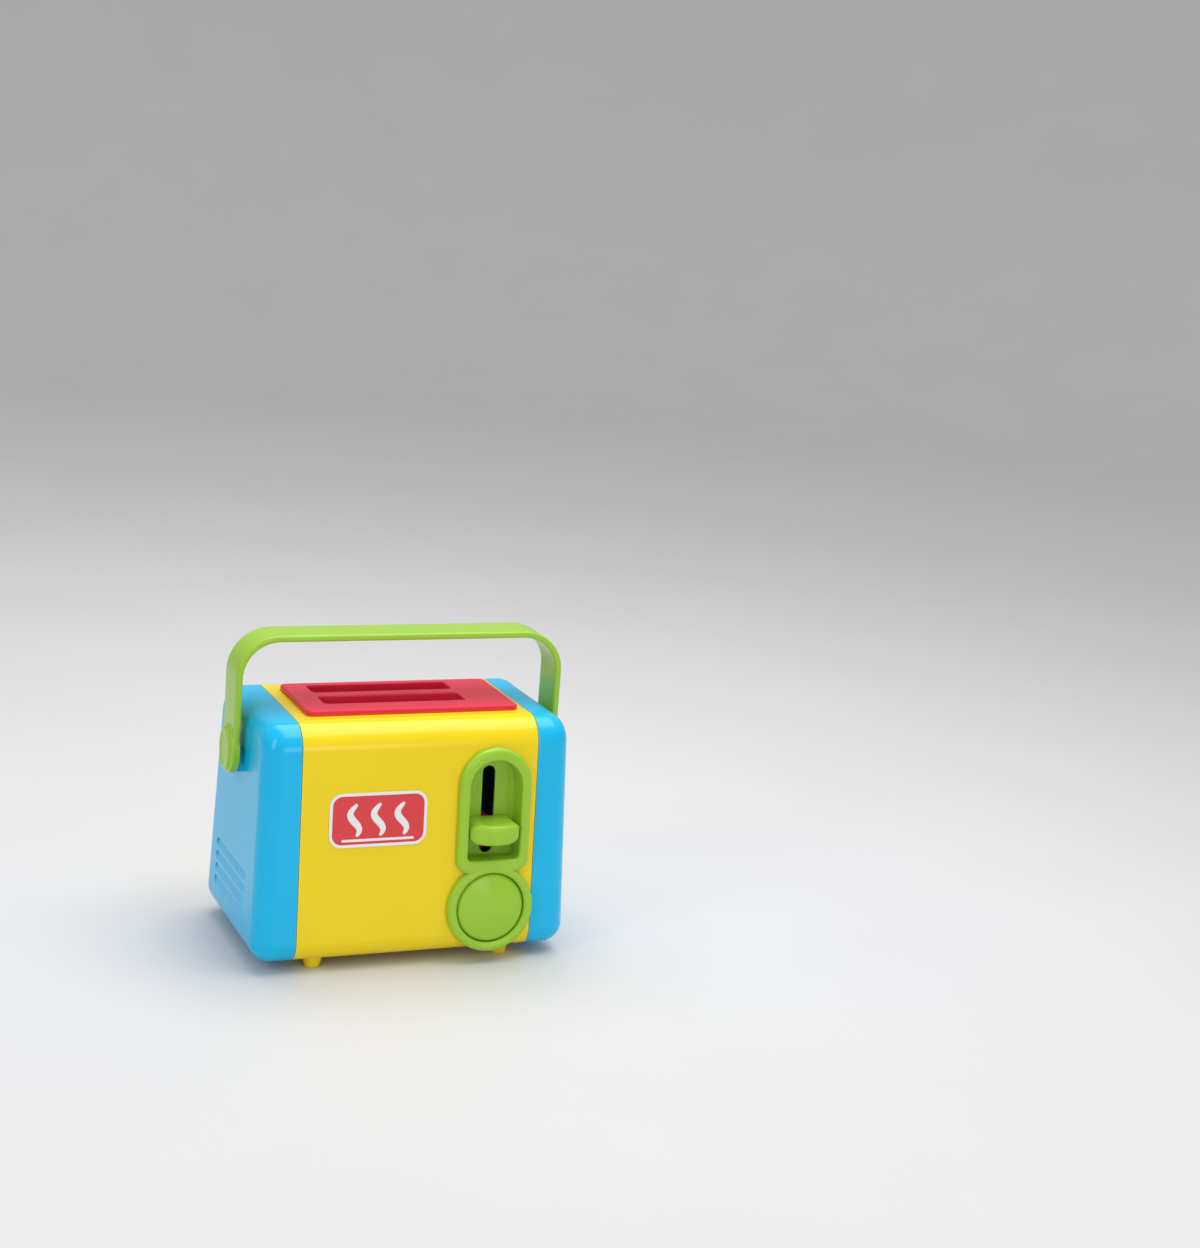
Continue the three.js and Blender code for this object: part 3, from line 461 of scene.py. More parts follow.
def loft(rings):
    """A closed mesh through rings of as many points each."""
    mesh = bmesh.new()
    loops = [[mesh.verts.new(point) for point in ring] for ring in rings]
    count = len(loops[0])
    for near, far in zip(loops, loops[1:]):
        for i in range(count):
            j = (i + 1) % count
            mesh.faces.new((near[i], near[j], far[j], far[i]))
    mesh.faces.new(loops[0])
    mesh.faces.new(loops[-1])
    bmesh.ops.recalc_face_normals(mesh, faces=mesh.faces)
    if mesh.calc_volume(signed=True) < 0:
        bmesh.ops.reverse_faces(mesh, faces=mesh.faces)
    return mesh


def add(name, data):
    """An object in the scene for a mesh, a light or a camera."""
    made = bpy.data.objects.new(name, data)
    bpy.context.scene.collection.objects.link(made)
    return made


def link(name, mesh):
    """An object from a mesh in millimetres about the body's middle."""
    data = bpy.data.meshes.new(name)
    mesh.to_mesh(data)
    mesh.free()
    return add(name, data)


def rings(outline, stations, place):
    return [[place(u, v, height) for u, v in outline(inset)] for inset, height in stations]


def stack(outline, stations, place, name="tool"):
    return link(name, loft(rings(outline, stations, place)))


def prism(outline, low, high, place, name="tool"):
    return stack(outline, [(0, low), (0, high)], place, name)


def body_prism(inset, low, high, name="tool"):
    """The body's section at one inset, between two places on X."""
    return prism(lambda _: body_outline(inset), low, high, along_x, name)


def slab(x0, x1, y0, y1, z0, z1, edge=0.4, name="tool"):
    """A box with all its edges rounded."""
    stations = rounded_foot(z0, edge, 3) + rounded_top(z1, edge, 3)
    return stack(rectangle(x0, x1, y0, y1, edge, 3), stations, along_z, name)


def turned(profile, start, axis, sides=48, name="tool"):
    """A turned solid: the profile is (radius, distance along the axis), closed at both ends."""
    def outline(radius):
        return [(radius * math.cos(t), radius * math.sin(t)) for t in circle(sides)]

    return stack(outline, profile, aimed(start, axis), name)


def rod(radius, start, end, chamfer=0.2, sides=48, name="tool"):
    start, end = Vector(start), Vector(end)
    length = (end - start).length
    inner = radius - chamfer
    profile = [(inner, 0), (radius, chamfer), (radius, length - chamfer), (inner, length)]
    return turned(profile, start, end - start, sides, name)


def uprights(radius, places, low, high, chamfer=0.2):
    """Upright rods at several places."""
    return [rod(radius, (x, y, low), (x, y, high), chamfer) for x, y in places]


def blade(points, x0, x1, edge=0.3, name="tool"):
    """A flat outline of (y, z) points between two places on X, with eased edges."""
    flat = [Vector(point) for point in points]

    def outline(inset):
        moved = []
        for i, corner in enumerate(flat):
            before = (corner - flat[i - 1]).normalized()
            after = (flat[(i + 1) % len(flat)] - corner).normalized()
            normal = Vector((-before.y - after.y, before.x + after.x)).normalized()
            slant = max(normal.dot(Vector((-before.y, before.x))), 0.3)
            moved.append(corner + normal * inset / slant)
        return moved

    return stack(outline, [(edge, x0), (0, x0 + edge), (0, x1 - edge), (edge, x1)], along_x, name)


def wire(points, radius, name, sides=12):
    """A round wire through points, closed at both ends."""
    loops = []
    side = None
    for i, point in enumerate(points):
        along = (points[min(i + 1, len(points) - 1)] - points[max(i - 1, 0)]).normalized()
        if side is None:
            side = along.orthogonal().normalized()
        side = (side - along * side.dot(along)).normalized()
        other = along.cross(side)
        loops.append([
            point + (side * math.cos(t) + other * math.sin(t)) * radius for t in circle(sides)
        ])
    return link(name, loft(loops))


def settle(made):
    """Takes a finished mesh from millimetres to the frame's metres."""
    made.data.transform(Matrix.Scale(MM, 4) @ Matrix.Translation((0, MID_Y, 0)))


def discard(made):
    data = made.data
    bpy.data.objects.remove(made)
    bpy.data.meshes.remove(data)


def mend(data):
    """Closes the slivers that a boolean can leave open."""
    mesh = bmesh.new()
    mesh.from_mesh(data)
    if not all(edge.is_manifold for edge in mesh.edges):
        bmesh.ops.remove_doubles(mesh, verts=mesh.verts, dist=SLIVER)
        bmesh.ops.dissolve_degenerate(mesh, edges=mesh.edges, dist=SLIVER)
        if not all(edge.is_manifold for edge in mesh.edges):
            raise RuntimeError(f"{data.name} is left open")
        mesh.to_mesh(data)
    mesh.free()


def combine(target, tools, operation, overlapping=False):
    """Cuts or joins the tools into the target by exact booleans, and removes the tools."""
    for tool in tools:
        step = target.modifiers.new("step", "BOOLEAN")
        step.operation = operation
        step.object = tool
        step.solver = "EXACT"
        step.use_self = overlapping
        evaluated = target.evaluated_get(bpy.context.evaluated_depsgraph_get())
        made = bpy.data.meshes.new_from_object(evaluated)
        mend(made)
        old = target.data
        target.modifiers.clear()
        target.data = made
        bpy.data.meshes.remove(old)
        discard(tool)
    return target


def cut(target, *tools):
    return combine(target, tools, "DIFFERENCE")


def join(target, *tools):
    return combine(target, tools, "UNION")


def gather(target, *others):
    """Puts closed bodies into one mesh as they are."""
    mesh = bmesh.new()
    for made in (target, *others):
        mesh.from_mesh(made.data)
    mesh.to_mesh(target.data)
    mesh.free()
    for made in others:
        discard(made)
    return target


def mirrored(made, name):
    """A copy on the other side of X = 0."""
    mesh = bmesh.new()
    mesh.from_mesh(made.data)
    mesh.transform(Matrix.Scale(-1, 4, (1, 0, 0)))
    bmesh.ops.reverse_faces(mesh, faces=mesh.faces)
    return link(name, mesh)


def in_frame(point):
    """A point about the body's middle, in the frame's metres."""
    return (Vector(point) + Vector((0, MID_Y, 0))) * MM


def smooth(made, look):
    settle(made)
    made.data.shade_smooth()
    made.data.set_sharp_from_angle(angle=sizes().sharp_angle)
    made.data.materials.clear()
    made.data.materials.append(look)


def finish(made, look):
    """Smooths a piece and evens out its shading round the fillets."""
    smooth(made, look)
    normals = made.modifiers.new("normals", "WEIGHTED_NORMAL")
    normals.keep_sharp = True
    normals.weight = 90


def dress(made, look, body, slot, *nodes):
    """Gives a piece its finish and hands it to the frame."""
    finish(made, look)
    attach(made, body)
    if nodes:
        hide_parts(*nodes)


def dress_spring(made, moving, start, end, node):
    """Gives a spring its finish, bakes its place into its mesh and hides its frame node."""
    finish(made, spring_steel())
    in_frame(start)
    in_frame(end)
    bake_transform(made)
    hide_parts(node)


# Finishes

def feed(tree, value, socket):
    """Links another node's output to a socket, or sets the socket to a plain value."""
    if isinstance(value, NodeSocket):
        tree.links.new(value, socket)
    else:
        socket.default_value = value


def set_inputs(tree, node, **values):
    """Feeds a node's inputs by name, with underscores for the spaces."""
    for label, value in values.items():
        feed(tree, value, node.inputs[label.replace("_", " ")])
    return node


def new_node(tree, kind, **values):
    return set_inputs(tree, tree.nodes.new(kind), **values)


def new_group(name, inputs, outputs):
    """A node group whose sockets are numbers, but for a colour that is called so."""
    group = bpy.data.node_groups.new(name, "ShaderNodeTree")
    for way, labels in (("INPUT", inputs), ("OUTPUT", outputs)):
        for label in labels:
            kind = "NodeSocketColor" if label == "Color" else "NodeSocketFloat"
            socket = group.interface.new_socket(label, in_out=way, socket_type=kind)
            if way == "INPUT":
                socket.default_value = inputs[label]
    return group, group.nodes.new("NodeGroupInput").outputs, group.nodes.new("NodeGroupOutput")


def use_group(tree, group, **values):
    node = tree.nodes.new("ShaderNodeGroup")
    node.node_tree = group
    return set_inputs(tree, node, **values)


def math_node(tree, operation, *values, clamp=False):
    node = tree.nodes.new("ShaderNodeMath")
    node.operation = operation
    node.use_clamp = clamp
    for socket, value in zip(node.inputs, values):
        feed(tree, value, socket)
    return node.outputs[0]


def swing(tree, value, middle, amount):
    """How far a value lies from its middle, times an amount."""
    return math_node(tree, "MULTIPLY", math_node(tree, "SUBTRACT", value, middle), amount)


def object_place(tree):
    return tree.nodes.new("ShaderNodeTexCoord").outputs["Object"]


def noise(tree, place, scale, detail=2.0, roughness=0.5):
    values = {"Vector": place, "Scale": scale, "Detail": detail, "Roughness": roughness}
    return new_node(tree, "ShaderNodeTexNoise", **values).outputs["Fac"]


def mix_colour(tree, share, first, second):
    node = tree.nodes.new("ShaderNodeMix")
    node.data_type = "RGBA"
    for name, value in (("Factor_Float", share), ("A_Color", first), ("B_Color", second)):
        feed(tree, value, next(s for s in node.inputs if s.identifier == name))
    return next(s for s in node.outputs if s.identifier == "Result_Color")


def paler(colour, share):
    return tuple(channel + (1 - channel) * share for channel in colour) + (1,)


def moulded_skin():
    """Moulded plastic: slow colour drift, pigment flecks, faint smudges and the mould's fine grain."""
    group = bpy.data.node_groups.get("Moulded skin")
    if group:
        return group
    inputs = {"Color": (0.8, 0.8, 0.8, 1), "Drift": 0.08, "Flecks": 0.05}
    inputs |= {"Roughness": 0.3, "Smudge": 0.08, "Grain Scale": 900.0}
    group, source, sink = new_group("Moulded skin", inputs, ("Color", "Roughness", "Height"))
    place = object_place(group)
    drift = swing(group, noise(group, place, 14.0, 1.0), 0.5, source["Drift"])
    flecks = swing(group, noise(group, place, 2600.0, 1.0), 0.5, source["Flecks"])
    marks = swing(group, noise(group, place, 38.0, 5.0, 0.62), 0.45, source["Smudge"])
    grain = noise(group, place, source["Grain Scale"], 3.0, 0.55)
    swell = noise(group, place, 120.0, 1.0)
    shade = new_node(
        group,
        "ShaderNodeHueSaturation",
        Color=source["Color"],
        Hue=math_node(group, "MULTIPLY_ADD", drift, 0.06, 0.5),
        Value=math_node(group, "ADD", math_node(group, "ADD", drift, flecks), 1.0),
    )
    set_inputs(
        group,
        sink,
        Color=shade.outputs["Color"],
        Roughness=math_node(group, "ADD", source["Roughness"], marks, clamp=True),
        Height=math_node(group, "MULTIPLY_ADD", swell, 1.4, grain),
    )
    return group


def worn_and_highlit_edge():
    """A mask of rounded edges, where handling polishes and pales the plastic, and where a highlight is
    painted.
    """
    group = bpy.data.node_groups.get("Worn and highlit edge")
    if group:
        return group
    group, source, sink = new_group("Worn and highlit edge", {"Radius": 0.0008, "Sharpness": 6.0}, ("Mask",))
    bevel = new_node(group, "ShaderNodeBevel", Radius=source["Radius"])
    bevel.samples = 4
    agree = group.nodes.new("ShaderNodeVectorMath")
    agree.operation = "DOT_PRODUCT"
    feed(group, bevel.outputs["Normal"], agree.inputs[0])
    feed(group, group.nodes.new("ShaderNodeNewGeometry").outputs["Normal"], agree.inputs[1])
    edge = math_node(group, "SUBTRACT", 1.0, agree.outputs["Value"])
    patches = noise(group, object_place(group), 160.0, 4.0, 0.6)
    broken = math_node(group, "MULTIPLY_ADD", patches, 0.9, 0.5)
    # Paler rounded edges: partly wear, partly a painted highlight
    wear_and_highlight = math_node(group, "MULTIPLY", math_node(group, "MULTIPLY", edge, source["Sharpness"]), broken)
    set_inputs(group, sink, Mask=math_node(group, "MINIMUM", wear_and_highlight, 1.0, clamp=True))
    return group


def new_material(name):
    look = bpy.data.materials.new(name)
    look.use_nodes = True
    return look, look.node_tree, look.node_tree.nodes["Principled BSDF"]


def add_bump(tree, height, distance, strength, shader):
    bump = new_node(tree, "ShaderNodeBump", Height=height, Distance=distance, Strength=strength)
    feed(tree, bump.outputs["Normal"], shader.inputs["Normal"])


def plastic(name, colour, roughness=0.2, specular=0.38):
    """Gloss moulded plastic of one colour, paler along its rounded edges: partly wear, partly a painted
    highlight.
    """
    look = bpy.data.materials.get(name)
    if look:
        return look
    look, tree, shader = new_material(name)
    skin = use_group(tree, moulded_skin(), Color=(*colour, 1), Roughness=roughness).outputs
    edge = use_group(tree, worn_and_highlit_edge(), Radius=0.0009).outputs
    # Rounded edges are painted paler: partly wear, partly a painted highlight
    share = math_node(tree, "MULTIPLY", edge["Mask"], sizes().edge_wear_and_highlight)
    shade = mix_colour(tree, share, skin["Color"], paler(colour, 0.45))
    set_inputs(tree, shader, Base_Color=shade, Roughness=skin["Roughness"], IOR=1.49)
    set_inputs(tree, shader, Specular_IOR_Level=specular)
    add_bump(tree, skin["Height"], 0.00002, 0.35, shader)
    return look


def yellow():
    return plastic("Yellow plastic", colours().yellow)


def blue():
    return plastic("Blue plastic", colours().blue)


def green():
    return plastic("Green plastic", colours().green)


def red():
    return plastic("Red plastic", colours().red, 0.3, 0.2)


def metal(name, colour, roughness, streak):
    """Drawn or plated steel with fine streaks along its length."""
    look = bpy.data.materials.get(name)
    if look:
        return look
    look, tree, shader = new_material(name)
    place = object_place(tree)
    stretched = new_node(tree, "ShaderNodeMapping", Vector=place, Scale=(1, 1, streak)).outputs["Vector"]
    lines = noise(tree, stretched, 1800.0, 3.0)
    dark = tuple(channel * 0.72 for channel in colour) + (1,)
    shade = mix_colour(tree, noise(tree, place, 90.0, 4.0), (*colour, 1), dark)
    rough = math_node(tree, "MULTIPLY_ADD", lines, 0.2, roughness - 0.1)
    set_inputs(tree, shader, Base_Color=shade, Roughness=rough, Metallic=1.0)
    add_bump(tree, lines, 0.00001, 0.25, shader)
    return look


def steel():
    return metal("Plated steel", colours().steel, 0.32, 0.1)


def spring_steel():
    return metal("Spring steel", colours().spring, 0.28, 0.3)


def printed_film(name, colour):
    """Printed film: a faint dot grain in the ink under a thin gloss."""
    look = bpy.data.materials.get(name)
    if look:
        return look
    look, tree, shader = new_material(name)
    place = object_place(tree)
    dots = new_node(tree, "ShaderNodeTexVoronoi", Vector=place, Scale=2400.0).outputs["Distance"]
    ink = math_node(tree, "MULTIPLY", dots, 0.12)
    shade = mix_colour(tree, ink, (*colour, 1), paler(colour, 0.5))
    wave = noise(tree, place, 300.0)
    set_inputs(tree, shader, Base_Color=shade, Roughness=math_node(tree, "MULTIPLY_ADD", wave, 0.1, 0.25))
    add_bump(tree, wave, 0.00002, 0.3, shader)
    return look


# Pieces

def screw(name, seat, axis, length, scale=1.0):
    """A pan head screw with a cross recess and a ridged shank."""
    head, shank = SCREW_HEAD * scale, SCREW_RADIUS * scale
    core = shank - THREAD_DEPTH * scale
    profile = [(head * share, -SCREW_HEAD_HEIGHT * up) for share, up in PAN_HEAD]
    profile += [(head, -0.05), (head - 0.05, 0), (core, 0)]
    for k in range(int((length - shank - THREAD_START) / THREAD_PITCH)):
        low = THREAD_START + k * THREAD_PITCH
        profile += [(core, low), (shank, low + THREAD_PITCH * 0.45), (core, low + THREAD_PITCH * 0.9)]
    profile += [(core, length - shank), (0.15, length)]
    made = turned(profile, seat, axis, 32, name)
    taper = [(0.55, -SCREW_HEAD_HEIGHT * 0.25), (1.0, -SCREW_HEAD_HEIGHT - 0.2)]
    arms = []
    for u, v in (CROSS, CROSS[::-1]):
        a, b = head * u, head * v
        corners = [(-a, -b), (a, -b), (a, b), (-a, b)]
        arms.append(stack(
            lambda share: [(u * share, v * share) for u, v in corners], taper, aimed(seat, axis)
        ))
    return cut(made, *arms)


def control_hole(radius, low, high):
    return prism(ring_outline(radius), low, high, on_front)


def collar_way():
    """The room that the bezel's collar needs in the shell and in the right end cap."""
    return control_hole(COLLAR_RADIUS + GAP, COLLAR_END - GAP, 2 * WALL)


def body_shell():
    """One wrap over the front, the top and the back, with eased edges along both seams."""
    ease = sizes().seam_edge
    stations = rounded_foot(-SHELL_END, ease, 4) + rounded_top(SHELL_END, ease, 4)
    made = stack(body_outline, stations, along_x, "body_shell_skin")
    end, mouth = SEAM + PAST, BASE_REACH + GAP
    under = prism(rectangle(-end, end, -mouth, mouth, 0.5), 0, BASE_TOP + GAP, along_z)
    cut(made, body_prism(WALL, -end, end), under)
    join(made, *[ribbed_post(x, y) for x, y in FOOT_PLACES])
    side, back = BUSH_RADIUS + 2 * GAP, SLOT_WIDTH / 2 + CHUTE_WALL + 2 * GAP
    chutes = rectangle(
        ROD_XS[0] - side, ROD_XS[1] + side, SLOT_YS[0] - back, SLOT_YS[1] + back, SLOT_CORNER
    )
    chute_way = prism(chutes, BODY_TOP - 2 * WALL, BODY_TOP + PAST, along_z)
    around = -BEZEL_WALL - GAP
    pocket_way = stack(POCKET, [(around, -3 * WALL), (around, 2 * WALL)], on_front)
    return cut(made, chute_way, pocket_way, collar_way())


def ribbed_post(x, y):
    """A post for one base screw, with the rib that ties it to the wall."""
    made = rod(POST_RADIUS, (x, y, BASE_TOP + GAP), (x, y, BASE_TOP + POST_HEIGHT), name="post")
    near, far = sorted((y, math.copysign(BOTTOM_DEPTH / 2, y)))
    half = RIB_THICKNESS / 2
    rib = slab(x - half, x + half, near, far, BASE_TOP + RIB_RISE, BASE_TOP + POST_HEIGHT - GAP)
    combine(rib, [body_prism(WALL / 2, -SEAM, SEAM)], "INTERSECT")
    join(made, rib)
    return cut(made, *uprights(SCREW_RADIUS, [(x, y)], BASE_TOP - PAST, BASE_TOP + PILOT_DEPTH, 0))


def end_cap():
    """The right end: rounded all round, hollow, with louvres, a spigot and the handle's boss."""
    ease = sizes().seam_edge
    outer = rings(body_outline, rounded_foot(CAP_START, ease, 4), along_x)
    outer += rings(body_outline, rounded_top(0, END_EDGE, sizes().fillet_steps), from_end)
    made = link("right_end_skin", loft(outer))
    inner = rings(body_outline, [(WALL, SEAM - PAST)], along_x)
    stations = [(WALL + inset, drop - WALL) for inset, drop in rounded_top(0, END_EDGE - WALL, 10)]
    inner += rings(body_outline, stations, from_end)
    cut(made, link("tool", loft(inner)), *louvres())
    root, tip = CAP_START + SPIGOT_ROOT, SEAM - SPIGOT_LENGTH
    spigot = body_prism(WALL + GAP, tip, root, "spigot")
    join(spigot, body_prism(WALL / 2, CAP_START + ease, root - HAIR))
    cut(spigot, body_prism(WALL + GAP + SPIGOT_WALL, tip - PAST, root + PAST))
    stations = [(0, PEG_END + GAP)] + rounded_top(ARM_INNER - GAP, 0.6)
    join(made, spigot, stack(oval(0, PIVOT_UP, PIVOT_BOSS), stations, along_x, "boss"))
    return cut(made, rod(PEG_RADIUS + GAP, (SEAM, 0, PIVOT_UP), (ARM_INNER + PAST, 0, PIVOT_UP)))


def louvres():
    """Rounded recesses, deepest at the top and nearly flush at the bottom."""
    half = LOUVRE_WIDTH / 2
    stations = [(0.4, -LOUVRE_DEPTH), (0, 0.3 - LOUVRE_DEPTH)] + flare(0, sizes().vent_edge, 4)
    tools = []
    for i in range(LOUVRES):
        upper = LOUVRE_TOP - i * LOUVRE_PITCH
        lower = upper - LOUVRE_HEIGHT
        recess = rectangle(LOUVRE_Y - half, LOUVRE_Y + half, lower, upper, LOUVRE_HEIGHT / 2 - HAIR)

        def place(y, z, depth):
            share = 0.1 + 0.9 * (z - lower) / LOUVRE_HEIGHT if depth < 0 else 1
            return from_end(y, z, depth * share)

        tools.append(stack(recess, stations, place))
    return tools


def slot_panel():
    """The raised red plate with its two slots and the chutes under them."""
    low, top, base = PANEL_LOW.z, PANEL_HIGH.z, PANEL_PLATE_LOW
    plate = rectangle(
        PANEL_LOW.x, PANEL_HIGH.x, PANEL_LOW.y - MID_Y, PANEL_HIGH.y - MID_Y, PANEL_CORNER, 10
    )
    stations = [(0.3, base), (0, base + 0.3)] + rounded_top(top, PANEL_EDGE, 8)
    made = stack(plate, stations, along_z, "slot_panel_skin")
    half, wide = SLOT_LENGTH / 2, SLOT_WIDTH / 2
    slots = [
        rectangle(SLOT_X - half, SLOT_X + half, y - wide, y + wide, SLOT_CORNER) for y in SLOT_YS
    ]
    chute = [(0.3 - CHUTE_WALL, low), (-CHUTE_WALL, low + 0.3), (-CHUTE_WALL, base + PAST)]
    bosses = uprights(BUSH_RADIUS, ROD_PLACES, base - ROD_BOSS, base + PAST)
    join(made, *[stack(slot, chute, along_z) for slot in slots], *bosses)
    way = [(0, low - PAST)] + flare(top, SLOT_LIP)
    sockets = uprights(ROD_RADIUS + GAP, ROD_PLACES, base - ROD_BOSS - PAST, base - 1, 0)
    return cut(made, *[stack(slot, way, along_z) for slot in slots], *sockets)


def control_bezel():
    """The arch with the lever's pocket over the ring with the button's well."""
    face = [(0, -END_EDGE)] + rounded_top(BEZEL_PROUD, BEZEL_EDGE, 8)
    made = stack(arch(ARCH_WIDTH, ARCH_LOW, ARCH_HIGH, ARCH_CORNER), face, on_front, "control_bezel_skin")
    join(made, stack(ring_outline(RING_RADIUS), face, on_front))
    cut(made, body_prism(-GAP, -BODY_WIDTH, BODY_WIDTH))
    root, floor = 2 * GAP, -POCKET_DEPTH - BEZEL_WALL
    tub = stack(POCKET, [(-BEZEL_WALL, floor), (-BEZEL_WALL, root)], on_front)
    join(made, tub, control_hole(COLLAR_RADIUS, COLLAR_END, root))
    stations = filleted_floor(-POCKET_DEPTH, POCKET_FILLET) + flare(BEZEL_PROUD, POCKET_LIP, 8)
    pocket = stack(POCKET, stations, on_front)
    stations = [(0, -COLLAR_DEPTH)] + flare(BEZEL_PROUD, WELL_LIP)
    well = stack(ring_outline(WELL_RADIUS), stations, on_front)
    half = LEVER_SLOT_WIDTH / 2
    slot = stack(
        rectangle(CONTROL_X - half, CONTROL_X + half, LEVER_SLOT_LOW, LEVER_SLOT_HIGH, half - HAIR, 12),
        [(0, floor - PAST)] + flare(-POCKET_DEPTH, LEVER_SLOT_LIP, 4),
        on_front,
    )
    stem_hole = control_hole(STEM_RADIUS + GAP, COLLAR_END - PAST, PAST - COLLAR_DEPTH)
    return cut(made, pocket, well, slot, stem_hole)


def release_button():
    """A domed button on a stem with a groove, and the clip in that groove."""
    crown = BUTTON_RADIUS - BUTTON_ROUND - BUTTON_FLAT
    dome = [
        (BUTTON_ROUND + crown * t / (math.pi / 2), BUTTON_EDGE + BUTTON_DOME * math.sin(t))
        for t in quarter(14)[1:]
    ]
    skirt = BUTTON_EDGE - BUTTON_SKIRT
    stations = [(0.2, skirt), (0, skirt + 0.2)] + rounded_top(BUTTON_EDGE, BUTTON_ROUND, 8)[:-1] + dome
    made = stack(ring_outline(BUTTON_RADIUS), stations, on_front, "release_button_skin")
    cut(made, control_hole(BUTTON_RADIUS - WALL, skirt - PAST, BUTTON_EDGE - WALL))
    high = COLLAR_END - CLIP_PLAY - GAP
    low = high - CLIP_THICKNESS
    stations = [
        (STEM_RADIUS - STEM_TIP, -STEM_LENGTH),
        (0, STEM_POINT - STEM_LENGTH),
        (0, low - GAP),
        (GROOVE_DEPTH, low - GAP + HAIR),
        (GROOVE_DEPTH, high + GAP - HAIR),
        (0, high + GAP),
        (0, BUTTON_EDGE - HAIR),
    ]
    join(made, stack(ring_outline(STEM_RADIUS, 48), stations, on_front))
    stations = rounded_foot(low, 0.3, 3) + rounded_top(high, 0.3, 3)
    clip = stack(ring_outline(CLIP_RADIUS, 64), stations, on_front, "button_clip_skin")
    cut(clip, control_hole(STEM_RADIUS - GROOVE_DEPTH + GAP, low - PAST, high + PAST))
    return made, clip


def arc(u, v, half_u, half_v, start, sweep, steps):
    """Points round a part of an oval, both ends included."""
    turns = [start + sweep * k / steps for k in range(steps + 1)]
    return [(u + half_u * math.cos(t), v + half_v * math.sin(t)) for t in turns]


def lever_knob():
    """A thumb rest, crowned at the front and soft on all its edges."""
    y0, y1 = KNOB_LOW.y - MID_Y, on_front(0, KNOB_LOW.z, -POCKET_DEPTH).y - 2 * GAP
    low, high = KNOB_LOW.z, KNOB_HIGH.z
    half = (KNOB_HIGH.x - KNOB_LOW.x) / 2
    shoulder = (y0 + y1) / 2

    def outline(inset):
        radius = max(KNOB_BACK - inset, 0.2)
        edge = half - inset - radius
        nose = arc(CONTROL_X, shoulder, half - inset, shoulder - y0 - inset, math.pi, math.pi, 48)
        right = arc(CONTROL_X + edge, y1 - radius, radius, radius, 0, math.pi / 2, 8)
        left = arc(CONTROL_X - edge, y1 - radius, radius, radius, math.pi / 2, math.pi / 2, 8)
        return nose + right + left

    stations = rounded_foot(low, KNOB_FOOT, 12) + rounded_top(high, KNOB_TOP, 12)
    made = stack(outline, stations, along_z, "lever_knob_skin")
    sides = rectangle(CONTROL_X - half, CONTROL_X + half, low, high, KNOB_SIDE, 16)
    combine(made, [prism(sides, y0 - PAST, y1 + PAST, along_y)], "INTERSECT")
    wide, floor = ARM_HALF + GAP, y1 - ARM_GRIP - GAP
    return cut(made, slab(
        CONTROL_X - wide, CONTROL_X + wide, floor, y1 + PAST, ARM_LOW - GAP, ARM_LOW + ARM_HEIGHT + GAP
    ))


def toast_carriage():
    """Two trays on a bridge with bushes, the lever's arm and the latch's catch."""
    half, reach = SLOT_LENGTH / 2 - TRAY_PLAY[0], SLOT_WIDTH / 2 - TRAY_PLAY[1]
    x0, x1 = SLOT_X - half, SLOT_X + half
    y0, y1 = SLOT_YS[0] - reach, SLOT_YS[1] + reach
    low, high = TRAY_LOW, TRAY_LOW + TRAY_THICKNESS
    made = slab(x0, x1, y0, y1, low, high, name="toast_carriage_skin")
    lip = high + TRAY_LIP
    parts = []
    for y in SLOT_YS:
        for side in (-1, 1):
            a, b = sorted((y + side * reach, y + side * (reach - LIP_WALL)))
            parts.append(slab(x0, x1, a, b, low, lip))
    for a, b in ((ROD_XS[0], x0 + 2), (x1 - 2, ROD_XS[1])):
        parts.append(slab(a, b, ROD_Y - BRIDGE_HALF, ROD_Y + BRIDGE_HALF, low, lip))
    parts += uprights(BUSH_RADIUS, ROD_PLACES, low, low + BUSH_HEIGHT, 0.4)
    top, front, root = CARRIAGE_HIGH.z, CARRIAGE_LOW.y - MID_Y, ROD_Y - ARM_ROOT
    arm = [(ROD_Y, low), (ROD_Y, top), (front, top), (front, ARM_LOW), (root, ARM_LOW), (root, low)]
    front, back, tip = (PIN_Y + y for y in CATCH_YS)
    foot, top = ARM_LOW + 1, PIN_Z + CATCH_RISE
    catch = [(back, foot), (front, foot), (front, top), (tip, top), (tip, top - 2)]
    catch += [(front, top - 4), (back, top - 4)]
    parts += [blade(points, CONTROL_X - ARM_HALF, CONTROL_X + ARM_HALF) for points in (arm, catch)]
    gather(made, *parts)
    bores = uprights(ROD_RADIUS + GAP, ROD_PLACES, 0, BODY_TOP, 0)
    return combine(made, [gather(*bores)], "DIFFERENCE", overlapping=True)


